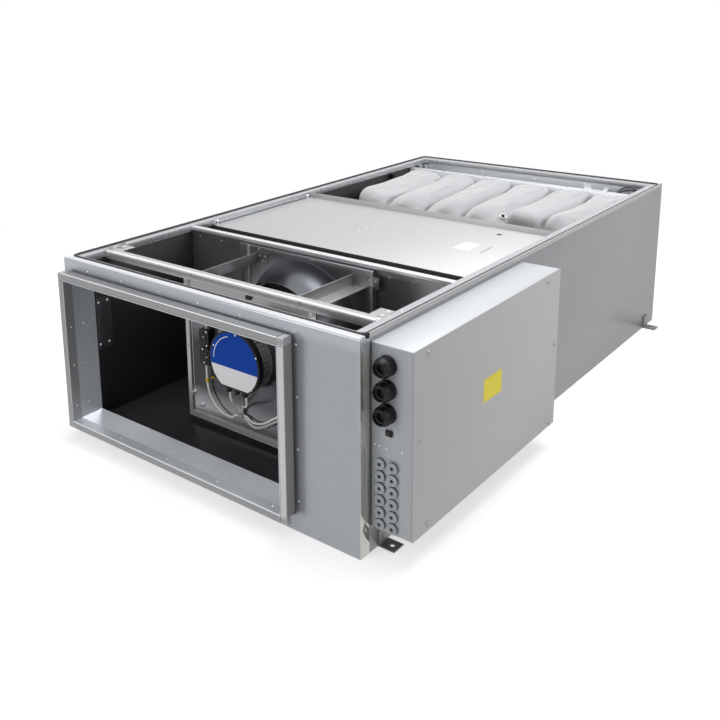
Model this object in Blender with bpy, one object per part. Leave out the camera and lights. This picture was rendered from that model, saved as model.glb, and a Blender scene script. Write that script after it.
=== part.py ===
# Flat air handling unit with its service cover off: an insulated sheet metal casing that is open
# at the top, a plug fan behind the front duct flange, a flat inner cover over the middle section,
# pocket filters at the back and a control box on the right side.
# Metres, +Z up. X runs to the right, Y from the front duct flange to the back, and the origin is
# the middle of the casing's underside.
import math

import bmesh
import bpy
from mathutils import Vector

# Casing
casing_width = 0.970
casing_length = 1.800
casing_height = 0.500
wall = 0.033
floor_thickness = 0.030
seam = 0.0003
sheet = 0.0015

# Rim that the service cover closes on
lip_height = 0.008
lip_drop = 0.018
lip_sheet = 0.002
front_fold = 0.018
front_fold_radius = 0.006
gasket_width = 0.010
gasket_inset = 0.002
gasket_corner = 0.022
gasket_above_rim = 0.003
lip_inner_corner = 0.004

# Duct connections
duct_from_left = 0.036
duct_from_right = 0.194
duct_from_top = 0.050
duct_from_bottom = 0.050
flange_width = 0.020
flange_depth = 0.028
flange_standoff = 0.036
collar_reach = 0.030

# Cross rail behind the front rim
rail_setback = 0.110
rail_width = 0.028
rail_height = 0.020
rail_sheet = 0.002
rail_below_rim = 0.002
rail_tab_length = 0.045
rail_tab_width = 0.040

# Fan wall
fan_section_length = 0.440
partition_sheet = 0.002
partition_rail_width = 0.018
partition_rail_height = 0.010
fan_plate_width = 0.460
fan_plate_above_floor = 0.005
fan_plate_below_rim = 0.016
fan_plate_depth = 0.016
nozzle_below_plate_top = 0.014
nozzle_throat_radius = 0.100
nozzle_length = 0.100
nozzle_lip = 0.012
nozzle_opening_margin = 0.014

# Fan
fan_x = -0.010
fan_above_plate_middle = 0.0105
impeller_radius = 0.1675
impeller_depth = 0.106
nozzle_overlap = 0.0086
impeller_sheet = 0.003
inlet_clearance = 0.006
shroud_rise = 0.018
blade_count = 7
blade_sheet = 0.003
blade_inset = 0.002
blade_sweep = math.radians(52)
rotor_radius = 0.062
rotor_ahead = 0.016
rotor_length = 0.080
shaft_radius = 0.010
shaft_length = 0.040

# Motor plate and what it carries
motor_plate_clearance = 0.0075
motor_plate_sheet = 0.0025
motor_plate_border = 0.018
motor_plate_border_depth = 0.004
motor_plate_width = 0.450
motor_plate_above_floor = 0.015
motor_plate_below_rim = 0.034
motor_plate_bore = 0.032
stator_radius = 0.068
stator_length = 0.030
electronics_radius = 0.086
electronics_depth = 0.026
electronics_flat = 0.072
motor_gland_radius = 0.0085
motor_gland_length = 0.014
motor_gland_pitch = 0.028
terminal_box_width = 0.034
terminal_box_height = 0.100
terminal_box_depth = 0.025
terminal_box_offset = -0.137
terminal_box_edge = 0.003
arm_offset = 0.165
arm_height = 0.030
arm_flange = 0.045
arm_sheet = 0.002

# Motor leads, held by the tie on the motor plate and by the gland in the right wall
lead_radius = 0.0028
main_cable_radius = 0.0038
tie_half_width = 0.009
tie_size = 0.014
tie_offset = -0.026
tie_above_plate_bottom = 0.054
lead_left_of_tie_middle = 0.003
lead_right_of_tie_middle = 0.0045
lead_below_tie_middle = 0.002
main_cable_below_tie_middle = 0.003
signal_cable_above_tie_middle = 0.0045
main_cable_below_gland_middle = 0.005
signal_cable_above_gland_middle = 0.0045
wall_gland_from_plate = 0.010
wall_gland_above_fan = 0.030
wall_gland_radius = 0.011
wall_gland_length = 0.022

# Middle section cover
cover_from_partition = 0.083
cover_length = 0.475
cover_below_rim = 0.018
cover_sheet = 0.0015
cover_gap = 0.003
cover_front_fold = 0.025
cover_rear_fold = 0.017
cover_rail_width = 0.045
cover_rail_height = 0.040

# Filter
filter_from_rear_wall = 0.100
filter_frame_depth = 0.025
filter_frame_border = 0.030
filter_frame_gap = 0.002
filter_below_rim = 0.020
pocket_count = 6
pocket_length = 0.402
pocket_gap = 0.006
pocket_straight = 0.140
pocket_shoulder = 0.300
pocket_shoulder_inset = 0.030
pocket_shoulder_lean = 0.012
pocket_shoulder_drop = 0.0025
pocket_tip_width = 0.032
pocket_tip_lean = 0.024
pocket_tip_drop = 0.008
pocket_tip_rise = 0.009

# Differential pressure hose in the rear right corner
hose_radius = 0.003
hose_from_wall = 0.092
hose_below_rim = 0.038
hose_tap_drop = 0.006
hose_lead = 0.012
hose_loop_radius = 0.036
hose_loop_tilt = math.radians(30)
hose_pass_spacing = 0.010

# Control box
box_width = 0.105
box_setback = 0.037
box_length = 0.683
box_bottom = 0.064
box_below_rim = 0.015
box_lid_sheet = 0.0015
box_lid_margin = 0.001
box_edge = 0.0015

# Cable entries on the control box front
gland_x_from_casing = 0.042
gland_below_box_top = 0.042
gland_pitch = 0.0525
gland_nut_radius = 0.0235
gland_nut_length = 0.010
gland_dome_radius = 0.0195
gland_dome_length = 0.022
gland_crown_radius = 0.0165
gland_crown_length = 0.0066
gland_bore_radius = 0.0115
gland_bore_depth = 0.020
grommet_pitch = 0.028
grommet_column_gap = 0.031
grommet_first_x = 0.026
grommet_above_box_bottom = 0.016
grommet_radius = 0.0132
grommet_height = 0.006
grommet_top_radius = 0.010
grommet_crown_height = 0.0036
grommet_bore_radius = 0.0045
grommet_bore_depth = 0.004
grommet_plate_sheet = 0.0015
socket_x_from_casing = 0.047
socket_below_gland = 0.043
grommet_to_socket = 0.050
socket_width = 0.016
socket_height = 0.013
socket_depth = 0.004

# Mounting brackets
foot_from_end = 0.083
foot_width = 0.038
foot_reach = 0.042
foot_height = 0.040
foot_sheet = 0.003
foot_hole_radius = 0.0055
foot_hole_from_tip = 0.017

# Small plate on the left wall beside the duct
wall_plate_setback = 0.092
wall_plate_above_middle = 0.046
wall_plate_length = 0.050
wall_plate_height = 0.150
wall_plate_sheet = 0.002

# Roundness
round_segments = 48
small_round_segments = 20
tiny_round_segments = 12
nozzle_steps = 12
blade_steps = 6
corner_steps = 4
hose_loop_step = 30
route_steps = 16
cord_point_spacing = 5
sharp_angle = math.radians(35)

# How far a cutting shape runs past what it cuts
overrun = 0.030

# Worked out from the sizes above
half_width = casing_width / 2
front_y = -casing_length / 2
rear_y = casing_length / 2
inner_x = half_width - wall
inner_front = front_y + wall
inner_rear = rear_y - wall
rim_z = casing_height
wall_top = rim_z - lip_height
duct_left = -half_width + duct_from_left
duct_right = half_width - duct_from_right
duct_bottom = duct_from_bottom
duct_top = rim_z - duct_from_top
rail_front = front_y + rail_setback
partition_front = front_y + fan_section_length
partition_rear = partition_front + partition_sheet
fan_plate_front = partition_front - seam - fan_plate_depth
fan_plate_bottom = floor_thickness + fan_plate_above_floor
fan_plate_top = rim_z - fan_plate_below_rim
fan_z = (fan_plate_bottom + fan_plate_top) / 2 + fan_above_plate_middle
nozzle_outer_radius = fan_plate_top - nozzle_below_plate_top - fan_z
impeller_rear = fan_plate_front - seam - nozzle_length + nozzle_overlap
impeller_front = impeller_rear - impeller_depth
impeller_inlet_radius = nozzle_throat_radius + inlet_clearance
rotor_front = impeller_front - rotor_ahead
motor_plate_rear = rotor_front - motor_plate_clearance
motor_plate_front = motor_plate_rear - motor_plate_sheet
motor_plate_bottom = floor_thickness + motor_plate_above_floor
motor_plate_top = rim_z - motor_plate_below_rim
electronics_rear = motor_plate_front - seam - stator_length
electronics_front = electronics_rear - electronics_depth
electronics_bottom = fan_z - electronics_flat
motor_gland_y = (electronics_front + electronics_rear) / 2
terminal_box_x = fan_x + terminal_box_offset
terminal_box_bottom = fan_z - terminal_box_height / 2
wall_gland_y = motor_plate_front + wall_gland_from_plate
wall_gland_z = fan_z + wall_gland_above_fan
cover_front = partition_rear + cover_from_partition
cover_rear = cover_front + cover_length
filter_frame_rear = inner_rear - filter_from_rear_wall
filter_frame_front = filter_frame_rear - filter_frame_depth
filter_top = rim_z - filter_below_rim
box_front = front_y + box_setback
box_top = rim_z - box_below_rim
entry_face = box_front - seam
gland_top_z = box_top - gland_below_box_top
socket_z = gland_top_z - 2 * gland_pitch - socket_below_gland
grommet_bottom_z = box_bottom + grommet_above_box_bottom
grommet_rows = 1 + int((socket_z - grommet_to_socket - grommet_bottom_z) / grommet_pitch)


def material(name, colour, roughness, metallic):
    result = bpy.data.materials.new(name)
    result.use_nodes = True
    shader = result.node_tree.nodes["Principled BSDF"]
    shader.inputs["Base Color"].default_value = (*colour, 1.0)
    shader.inputs["Roughness"].default_value = roughness
    shader.inputs["Metallic"].default_value = metallic
    result.diffuse_color = (*colour, 1.0)
    return result


def clear_scene():
    for item in list(bpy.data.objects):
        bpy.data.objects.remove(item, do_unlink=True)


def add_object(name, mesh_builder, finish=None):
    """Turn a filled bmesh into a named object."""
    bmesh.ops.recalc_face_normals(mesh_builder, faces=mesh_builder.faces)
    mesh = bpy.data.meshes.new(name)
    mesh_builder.to_mesh(mesh)
    mesh_builder.free()
    result = bpy.data.objects.new(name, mesh)
    bpy.context.scene.collection.objects.link(result)
    if finish is not None:
        mesh.materials.append(finish)
    return result


def box(name, low, high, finish=None):
    shape = bmesh.new()
    bmesh.ops.create_cube(shape, size=1.0)
    for vertex in shape.verts:
        for axis in range(3):
            vertex.co[axis] = high[axis] if vertex.co[axis] > 0 else low[axis]
    return add_object(name, shape, finish)


def prism(name, outline, axis, low, high, finish=None):
    """Extrude a flat outline along X, Y or Z. The outline's points lie on the other two axes."""
    shape = bmesh.new()

    def place(point, along):
        coordinates = list(point)
        coordinates.insert(axis, along)
        return shape.verts.new(coordinates)

    start = [place(point, low) for point in outline]
    end = [place(point, high) for point in outline]
    shape.faces.new(start)
    shape.faces.new(list(reversed(end)))
    count = len(outline)
    for index in range(count):
        after = (index + 1) % count
        shape.faces.new((start[after], start[index], end[index], end[after]))
    return add_object(name, shape, finish)


def ring_prism(name, outer, inner, axis, low, high, finish=None):
    """Extrude the band between two outlines that have the same number of points."""
    shape = bmesh.new()

    def loop(outline, along):
        points = []
        for point in outline:
            coordinates = list(point)
            coordinates.insert(axis, along)
            points.append(shape.verts.new(coordinates))
        return points

    loops = [loop(outer, low), loop(outer, high), loop(inner, high), loop(inner, low)]
    count = len(outer)
    for side in range(4):
        first = loops[side]
        second = loops[(side + 1) % 4]
        for index in range(count):
            after = (index + 1) % count
            shape.faces.new((first[index], first[after], second[after], second[index]))
    return add_object(name, shape, finish)


def turned(name, profile, centre, segments, finish=None):
    """Turn a closed profile of (radius, y) points round a line along Y through centre (x, z)."""
    shape = bmesh.new()
    rings = []
    for radius, along in profile:
        if radius == 0:
            rings.append([shape.verts.new((centre[0], along, centre[1]))])
            continue
        ring = []
        for step in range(segments):
            angle = 2 * math.pi * step / segments
            x = centre[0] + radius * math.cos(angle)
            z = centre[1] + radius * math.sin(angle)
            ring.append(shape.verts.new((x, along, z)))
        rings.append(ring)
    for index in range(len(rings)):
        first = rings[index]
        second = rings[(index + 1) % len(rings)]
        if len(first) == 1 and len(second) == 1:
            continue
        for step in range(segments):
            after = (step + 1) % segments
            if len(first) == 1:
                shape.faces.new((first[0], second[after], second[step]))
            elif len(second) == 1:
                shape.faces.new((first[step], first[after], second[0]))
            else:
                shape.faces.new((first[step], first[after], second[after], second[step]))
    return add_object(name, shape, finish)


def rounded_rectangle(low, high, radius, steps=corner_steps):
    """Outline of a rectangle with round corners, as a list of points."""
    corners = (
        (high[0] - radius, high[1] - radius, 0.0),
        (low[0] + radius, high[1] - radius, 90.0),
        (low[0] + radius, low[1] + radius, 180.0),
        (high[0] - radius, low[1] + radius, 270.0),
    )
    points = []
    for x, y, start in corners:
        for step in range(steps + 1):
            angle = math.radians(start + 90.0 * step / steps)
            points.append((x + radius * math.cos(angle), y + radius * math.sin(angle)))
    return points


def as_tool(item):
    """Mark an object as a cutter or a joined shape, which is no piece of its own."""
    item.hide_render = True
    item.display_type = "WIRE"
    return item


def boolean(item, tool, operation):
    modifier = item.modifiers.new(operation.lower(), "BOOLEAN")
    modifier.object = as_tool(tool)
    modifier.operation = operation
    modifier.solver = "EXACT"


def cut(item, tool):
    boolean(item, tool, "DIFFERENCE")


def join(item, other):
    boolean(item, other, "UNION")


def bevel(item, width, segments=2):
    modifier = item.modifiers.new("edge", "BEVEL")
    modifier.width = width
    modifier.segments = segments
    modifier.limit_method = "ANGLE"
    modifier.angle_limit = math.radians(60)


def smooth(item):
    item.data.shade_smooth()
    item.data.set_sharp_from_angle(angle=sharp_angle)


def smooth_route(points, spacing):
    """Even points on a smooth curve through a route, whose first and last stretches stay straight."""
    knots = [Vector(point) for point in points]
    dense = []
    for index in range(1, len(knots) - 2):
        a, b, c, d = knots[index - 1:index + 3]
        for step in range(route_steps):
            t = step / route_steps
            dense.append(0.5 * (2 * b + (c - a) * t + (2 * a - 5 * b + 4 * c - d) * t ** 2
                                + (3 * b - a - 3 * c + d) * t ** 3))
    dense.append(knots[-2])
    length = sum((after - before).length for before, after in zip(dense, dense[1:]))
    count = max(2, round(length / spacing))
    result = [knots[0], dense[0]]
    travelled = 0.0
    passed = 1
    for before, after in zip(dense, dense[1:]):
        piece = (after - before).length
        while passed < count and travelled + piece >= length * passed / count:
            result.append(before.lerp(after, (length * passed / count - travelled) / piece))
            passed += 1
        travelled += piece
    result.extend((dense[-1], knots[-1]))
    return result


def tube(name, points, radius, finish):
    """A round cable or hose with filled ends along a smooth route."""
    curve = bpy.data.curves.new(name, "CURVE")
    curve.dimensions = "3D"
    curve.bevel_depth = radius
    curve.bevel_resolution = 2
    curve.use_fill_caps = True
    spline = curve.splines.new("POLY")
    route = smooth_route(points, radius * cord_point_spacing)
    spline.points.add(len(route) - 1)
    for point, place in zip(spline.points, route):
        point.co = (*place, 1.0)
    curve.materials.append(finish)
    result = bpy.data.objects.new(name, curve)
    bpy.context.scene.collection.objects.link(result)
    return result


def casing():
    zinc = material("casing_zinc", (0.62, 0.63, 0.65), 0.38, 0.7)
    inside = material("casing_inside", (0.30, 0.31, 0.32), 0.45, 0.6)
    box("floor_panel",
        (-inner_x + seam, inner_front + seam, 0.0),
        (inner_x - seam, inner_rear - seam, floor_thickness), inside)

    opening_low = duct_left - sheet - seam
    opening_high = duct_right + sheet + seam
    opening_bottom = duct_bottom - sheet - seam
    opening_top = duct_top + sheet + seam

    fold = [
        (front_y, 0.0),
        (inner_front, 0.0),
        (inner_front, wall_top),
        (front_y + front_fold, wall_top),
        (front_y + front_fold, rim_z),
    ]
    for step in range(corner_steps + 1):
        angle = math.radians(90.0 * step / corner_steps)
        fold.append((front_y + front_fold_radius * (1 - math.sin(angle)),
                     rim_z - front_fold_radius * (1 - math.cos(angle))))
    front = prism("front_wall", fold, 0, -half_width, half_width, zinc)
    cut(front, box("front_opening",
                   (opening_low, front_y - overrun, opening_bottom),
                   (opening_high, inner_front + overrun, opening_top)))

    rear = box("rear_wall", (-inner_x + seam, inner_rear, 0.0), (inner_x - seam, rear_y, wall_top), zinc)
    cut(rear, box("rear_opening",
                  (opening_low, inner_rear - overrun, opening_bottom),
                  (opening_high, rear_y + overrun, opening_top)))

    box("left_wall", (-half_width, inner_front + seam, 0.0), (-inner_x, rear_y, wall_top), zinc)
    right = box("right_wall", (inner_x, inner_front + seam, 0.0), (half_width, rear_y, wall_top), zinc)
    cut(right, gland_hole("wall_gland_hole", wall_gland_y, wall_gland_z))


def gland_hole(name, y, z):
    """A round hole along X through the right wall for the cable gland."""
    outline = circle(wall_gland_radius + seam, small_round_segments, (y, z))
    return prism(name, outline, 0, inner_x - overrun, half_width + overrun)


def circle(radius, segments, centre=(0.0, 0.0)):
    points = []
    for step in range(segments):
        angle = 2 * math.pi * step / segments
        points.append((centre[0] + radius * math.cos(angle), centre[1] + radius * math.sin(angle)))
    return points


def rim():
    rubber = material("gasket_rubber", (0.03, 0.03, 0.035), 0.7, 0.0)
    bright = material("rim_sheet", (0.75, 0.76, 0.78), 0.3, 0.8)

    gasket_low = (-half_width + gasket_inset, front_y + front_fold + seam)
    gasket_high = (half_width - gasket_inset, rear_y - gasket_inset)
    inner_low = (gasket_low[0] + gasket_width, gasket_low[1] + gasket_width)
    inner_high = (gasket_high[0] - gasket_width, gasket_high[1] - gasket_width)
    ring_prism("rim_gasket",
               rounded_rectangle(gasket_low, gasket_high, gasket_corner),
               rounded_rectangle(inner_low, inner_high, gasket_corner - gasket_width),
               2, wall_top + seam, rim_z + gasket_above_rim, rubber)

    lip_low = (inner_low[0] + seam, inner_low[1] + seam)
    lip_high = (inner_high[0] - seam, inner_high[1] - seam)
    inside_low = (-inner_x + lip_sheet, inner_front + lip_sheet)
    inside_high = (inner_x - lip_sheet, inner_rear - lip_sheet)
    corner = gasket_corner - gasket_width
    lip = ring_prism("rim_lip",
                     rounded_rectangle(lip_low, lip_high, corner),
                     rounded_rectangle(inside_low, inside_high, lip_inner_corner),
                     2, wall_top + seam, rim_z, bright)
    skirt_low = (-inner_x + seam, inner_front + seam)
    skirt_high = (inner_x - seam, inner_rear - seam)
    join(lip, ring_prism("rim_lip_skirt",
                         rounded_rectangle(skirt_low, skirt_high, lip_inner_corner),
                         rounded_rectangle(inside_low, inside_high, lip_inner_corner),
                         2, rim_z - lip_drop, rim_z - lip_height / 2))


def duct_connection(side, name_collar, name_flange):
    """Sheet collar through the end wall with the bolted duct flange on its outer end."""
    metal = material(name_flange + "_zinc", (0.66, 0.67, 0.68), 0.35, 0.8)
    end_y = front_y if side < 0 else rear_y
    inner_y = inner_front if side < 0 else inner_rear

    def along(outward):
        return end_y + side * outward

    def span(first, second):
        return min(first, second), max(first, second)

    def rectangle(margin):
        return [(duct_left - margin, duct_bottom - margin),
                (duct_right + margin, duct_bottom - margin),
                (duct_right + margin, duct_top + margin),
                (duct_left - margin, duct_top + margin)]

    low, high = span(along(flange_standoff - seam), inner_y - side * collar_reach)
    ring_prism(name_collar, rectangle(sheet), rectangle(0.0), 1, low, high, metal)
    low, high = span(along(flange_standoff), along(flange_standoff - flange_depth))
    ring_prism(name_flange, rectangle(flange_width), rectangle(sheet + seam), 1, low, high, metal)


def front_rail():
    bright = material("rail_zinc", (0.72, 0.73, 0.75), 0.3, 0.8)
    top = rim_z - rail_below_rim
    bottom = top - rail_height
    rear = rail_front + rail_width
    channel = [
        (rail_front, bottom),
        (rail_front + rail_sheet, bottom),
        (rail_front + rail_sheet, top - rail_sheet),
        (rear - rail_sheet, top - rail_sheet),
        (rear - rail_sheet, bottom),
        (rear, bottom),
        (rear, top),
        (rail_front, top),
    ]
    reach = inner_x - lip_sheet - seam
    rail = prism("front_cross_rail", channel, 0, -reach, reach, bright)
    for side in (-1, 1):
        low_x, high_x = sorted((side * reach, side * (reach - rail_tab_width)))
        join(rail, box("rail_tab",
                       (low_x, rear - rail_sheet, top - rail_sheet),
                       (high_x, rear + rail_tab_length, top)))


def fan_wall():
    zinc = material("fan_wall_zinc", (0.45, 0.46, 0.48), 0.35, 0.8)
    rail_top = rim_z - rail_below_rim
    partition_high = rail_top - partition_rail_height
    reach = inner_x - lip_sheet - seam
    opening = nozzle_outer_radius - nozzle_opening_margin

    partition = box("fan_partition",
                    (-inner_x + seam, partition_front, floor_thickness + seam),
                    (inner_x - seam, partition_rear, rim_z - lip_drop - seam), zinc)
    join(partition, box("partition_neck",
                        (-reach, partition_front, rim_z - lip_drop - lip_height),
                        (reach, partition_rear, partition_high - seam)))
    hole = circle(opening, round_segments, (fan_x, fan_z))
    cut(partition, prism("partition_hole", hole, 1, partition_front - overrun, partition_front + overrun))

    middle = partition_front + partition_sheet / 2
    box("partition_rail",
        (-reach, middle - partition_rail_width / 2, partition_high),
        (reach, middle + partition_rail_width / 2, rail_top), zinc)

    plate_low = fan_x - fan_plate_width / 2
    plate_high = plate_low + fan_plate_width
    plate = box("fan_plate",
                (plate_low, fan_plate_front, fan_plate_bottom),
                (plate_high, partition_front - seam, fan_plate_top), zinc)
    cut(plate, box("fan_plate_back",
                   (plate_low + sheet, fan_plate_front + sheet, fan_plate_bottom + sheet),
                   (plate_high - sheet, partition_front + overrun, fan_plate_top - sheet)))
    cut(plate, prism("fan_plate_hole", hole, 1, fan_plate_front - overrun, fan_plate_front + sheet * 2))

    nozzle_rear = fan_plate_front - seam
    fan_side = []
    inlet_side = []
    depth = nozzle_length - sheet
    rise = nozzle_outer_radius - nozzle_lip - nozzle_throat_radius
    for step in range(nozzle_steps + 1):
        angle = math.radians(90.0 * step / nozzle_steps)
        radius = nozzle_outer_radius - nozzle_lip - rise * math.sin(angle)
        along = nozzle_rear - sheet - depth * (1 - math.cos(angle))
        slope = math.hypot(depth * math.sin(angle), rise * math.cos(angle))
        fan_side.append((radius, along))
        inlet_side.append((radius - sheet * depth * math.sin(angle) / slope,
                           along + sheet * rise * math.cos(angle) / slope))
    profile = [(nozzle_outer_radius, nozzle_rear - sheet), *fan_side, *reversed(inlet_side),
               (nozzle_outer_radius, nozzle_rear)]
    smooth(turned("inlet_nozzle", profile, (fan_x, fan_z), round_segments, zinc))


def shroud_height(radius):
    """Y of the impeller's cover plate at a radius: it leans forward towards its rim."""
    share = (radius - impeller_inlet_radius) / (impeller_radius - impeller_inlet_radius)
    return impeller_rear - shroud_rise * max(0.0, share)


def impeller():
    dark = material("impeller_metal", (0.10, 0.10, 0.11), 0.45, 0.6)
    steel = material("rotor_steel", (0.35, 0.35, 0.37), 0.4, 0.8)
    hub = bpy.data.objects.new("impeller_axis", None)
    hub.location = (fan_x, 0.0, fan_z)
    bpy.context.scene.collection.objects.link(hub)

    centre = (0.0, 0.0)
    back = turned("impeller",
                  [(rotor_radius + seam, impeller_front),
                   (impeller_radius, impeller_front),
                   (impeller_radius, impeller_front + impeller_sheet),
                   (rotor_radius + seam, impeller_front + impeller_sheet)],
                  centre, round_segments, dark)
    shroud = turned("impeller_shroud",
                    [(impeller_inlet_radius, impeller_rear),
                     (impeller_radius, shroud_height(impeller_radius)),
                     (impeller_radius, shroud_height(impeller_radius) - impeller_sheet),
                     (impeller_inlet_radius, impeller_rear - impeller_sheet)],
                    centre, round_segments)

    blades = bmesh.new()
    blade_inner_radius = impeller_inlet_radius + blade_inset
    blade_reach = impeller_radius - impeller_sheet - blade_inner_radius
    across = blade_sheet / 2
    low = impeller_front + impeller_sheet / 2
    for blade in range(blade_count):
        start = 2 * math.pi * blade / blade_count
        sections = []
        for step in range(blade_steps + 1):
            share = step / blade_steps
            radius = blade_inner_radius + blade_reach * share
            angle = start - blade_sweep * share
            high = shroud_height(radius) - impeller_sheet / 2
            outward = Vector((math.cos(angle), math.sin(angle)))
            around = Vector((-math.sin(angle), math.cos(angle)))
            direction = (outward * radius * blade_sweep + around * blade_reach).normalized()
            middle = outward * radius
            sections.append([
                blades.verts.new((middle.x - across * direction.x, low, middle.y - across * direction.y)),
                blades.verts.new((middle.x + across * direction.x, low, middle.y + across * direction.y)),
                blades.verts.new((middle.x + across * direction.x, high, middle.y + across * direction.y)),
                blades.verts.new((middle.x - across * direction.x, high, middle.y - across * direction.y)),
            ])
        blades.faces.new(sections[0])
        blades.faces.new(list(reversed(sections[-1])))
        for first, second in zip(sections, sections[1:]):
            for corner in range(4):
                after = (corner + 1) % 4
                blades.faces.new((first[after], first[corner], second[corner], second[after]))
    blade_set = add_object("impeller_blades", blades)
    join(back, blade_set)
    join(back, shroud)

    rotor = turned("motor_rotor",
                   [(0, rotor_front - shaft_length),
                    (shaft_radius, rotor_front - shaft_length),
                    (shaft_radius, rotor_front),
                    (rotor_radius, rotor_front),
                    (rotor_radius, rotor_front + rotor_length),
                    (0, rotor_front + rotor_length)],
                   centre, round_segments, steel)
    for item in (back, shroud, blade_set, rotor):
        item.parent = hub


def motor_group():
    zinc = material("motor_plate_zinc", (0.66, 0.67, 0.68), 0.3, 0.8)
    black = material("motor_plastic", (0.02, 0.02, 0.022), 0.4, 0.0)

    low_x = fan_x - motor_plate_width / 2
    high_x = fan_x + motor_plate_width / 2
    plate = box("motor_plate",
                (low_x, motor_plate_front - motor_plate_border_depth, motor_plate_bottom),
                (high_x, motor_plate_rear, motor_plate_top), zinc)
    cut(plate, box("motor_plate_recess",
                   (low_x + motor_plate_border, motor_plate_front - overrun,
                    motor_plate_bottom + motor_plate_border),
                   (high_x - motor_plate_border, motor_plate_front,
                    motor_plate_top - motor_plate_border)))
    cut(plate, prism("motor_plate_bore", circle(motor_plate_bore, small_round_segments, (fan_x, fan_z)),
                     1, motor_plate_front - overrun, motor_plate_rear + overrun))

    stator_rear = motor_plate_front - seam
    bore = shaft_radius + seam
    bore_end = rotor_front - shaft_length - seam
    housing = turned("motor_housing",
                     [(0, electronics_front),
                      (electronics_radius, electronics_front),
                      (electronics_radius, electronics_rear),
                      (stator_radius, electronics_rear),
                      (stator_radius, stator_rear),
                      (bore, stator_rear),
                      (bore, bore_end),
                      (0, bore_end)],
                     (fan_x, fan_z), round_segments, black)
    cut(housing, box("electronics_flat",
                     (fan_x - electronics_radius - overrun, electronics_front - overrun,
                      fan_z - electronics_radius - overrun),
                     (fan_x + electronics_radius + overrun, electronics_rear + sheet, electronics_bottom)))
    for index in (-1, 0, 1):
        centre = (fan_x + index * motor_gland_pitch, motor_gland_y)
        join(housing, prism("motor_gland", circle(motor_gland_radius, tiny_round_segments, centre), 2,
                            electronics_bottom - motor_gland_length, electronics_bottom + sheet))

    terminal = box("motor_terminal_box",
                   (terminal_box_x - terminal_box_width / 2, stator_rear - terminal_box_depth,
                    terminal_box_bottom),
                   (terminal_box_x + terminal_box_width / 2, stator_rear,
                    terminal_box_bottom + terminal_box_height), black)
    bevel(terminal, terminal_box_edge, 1)

    for side, name in ((-1, "fan_arm_left"), (1, "fan_arm_right")):
        web = fan_x + side * arm_offset
        arm_top = motor_plate_top
        bottom = arm_top - arm_height
        section = [
            (web, arm_top),
            (web, bottom),
            (web + side * arm_flange, bottom),
            (web + side * arm_flange, bottom + arm_sheet),
            (web + side * arm_sheet, bottom + arm_sheet),
            (web + side * arm_sheet, arm_top),
        ]
        prism(name, section, 1, motor_plate_rear + seam, fan_plate_front - seam, zinc)


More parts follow.
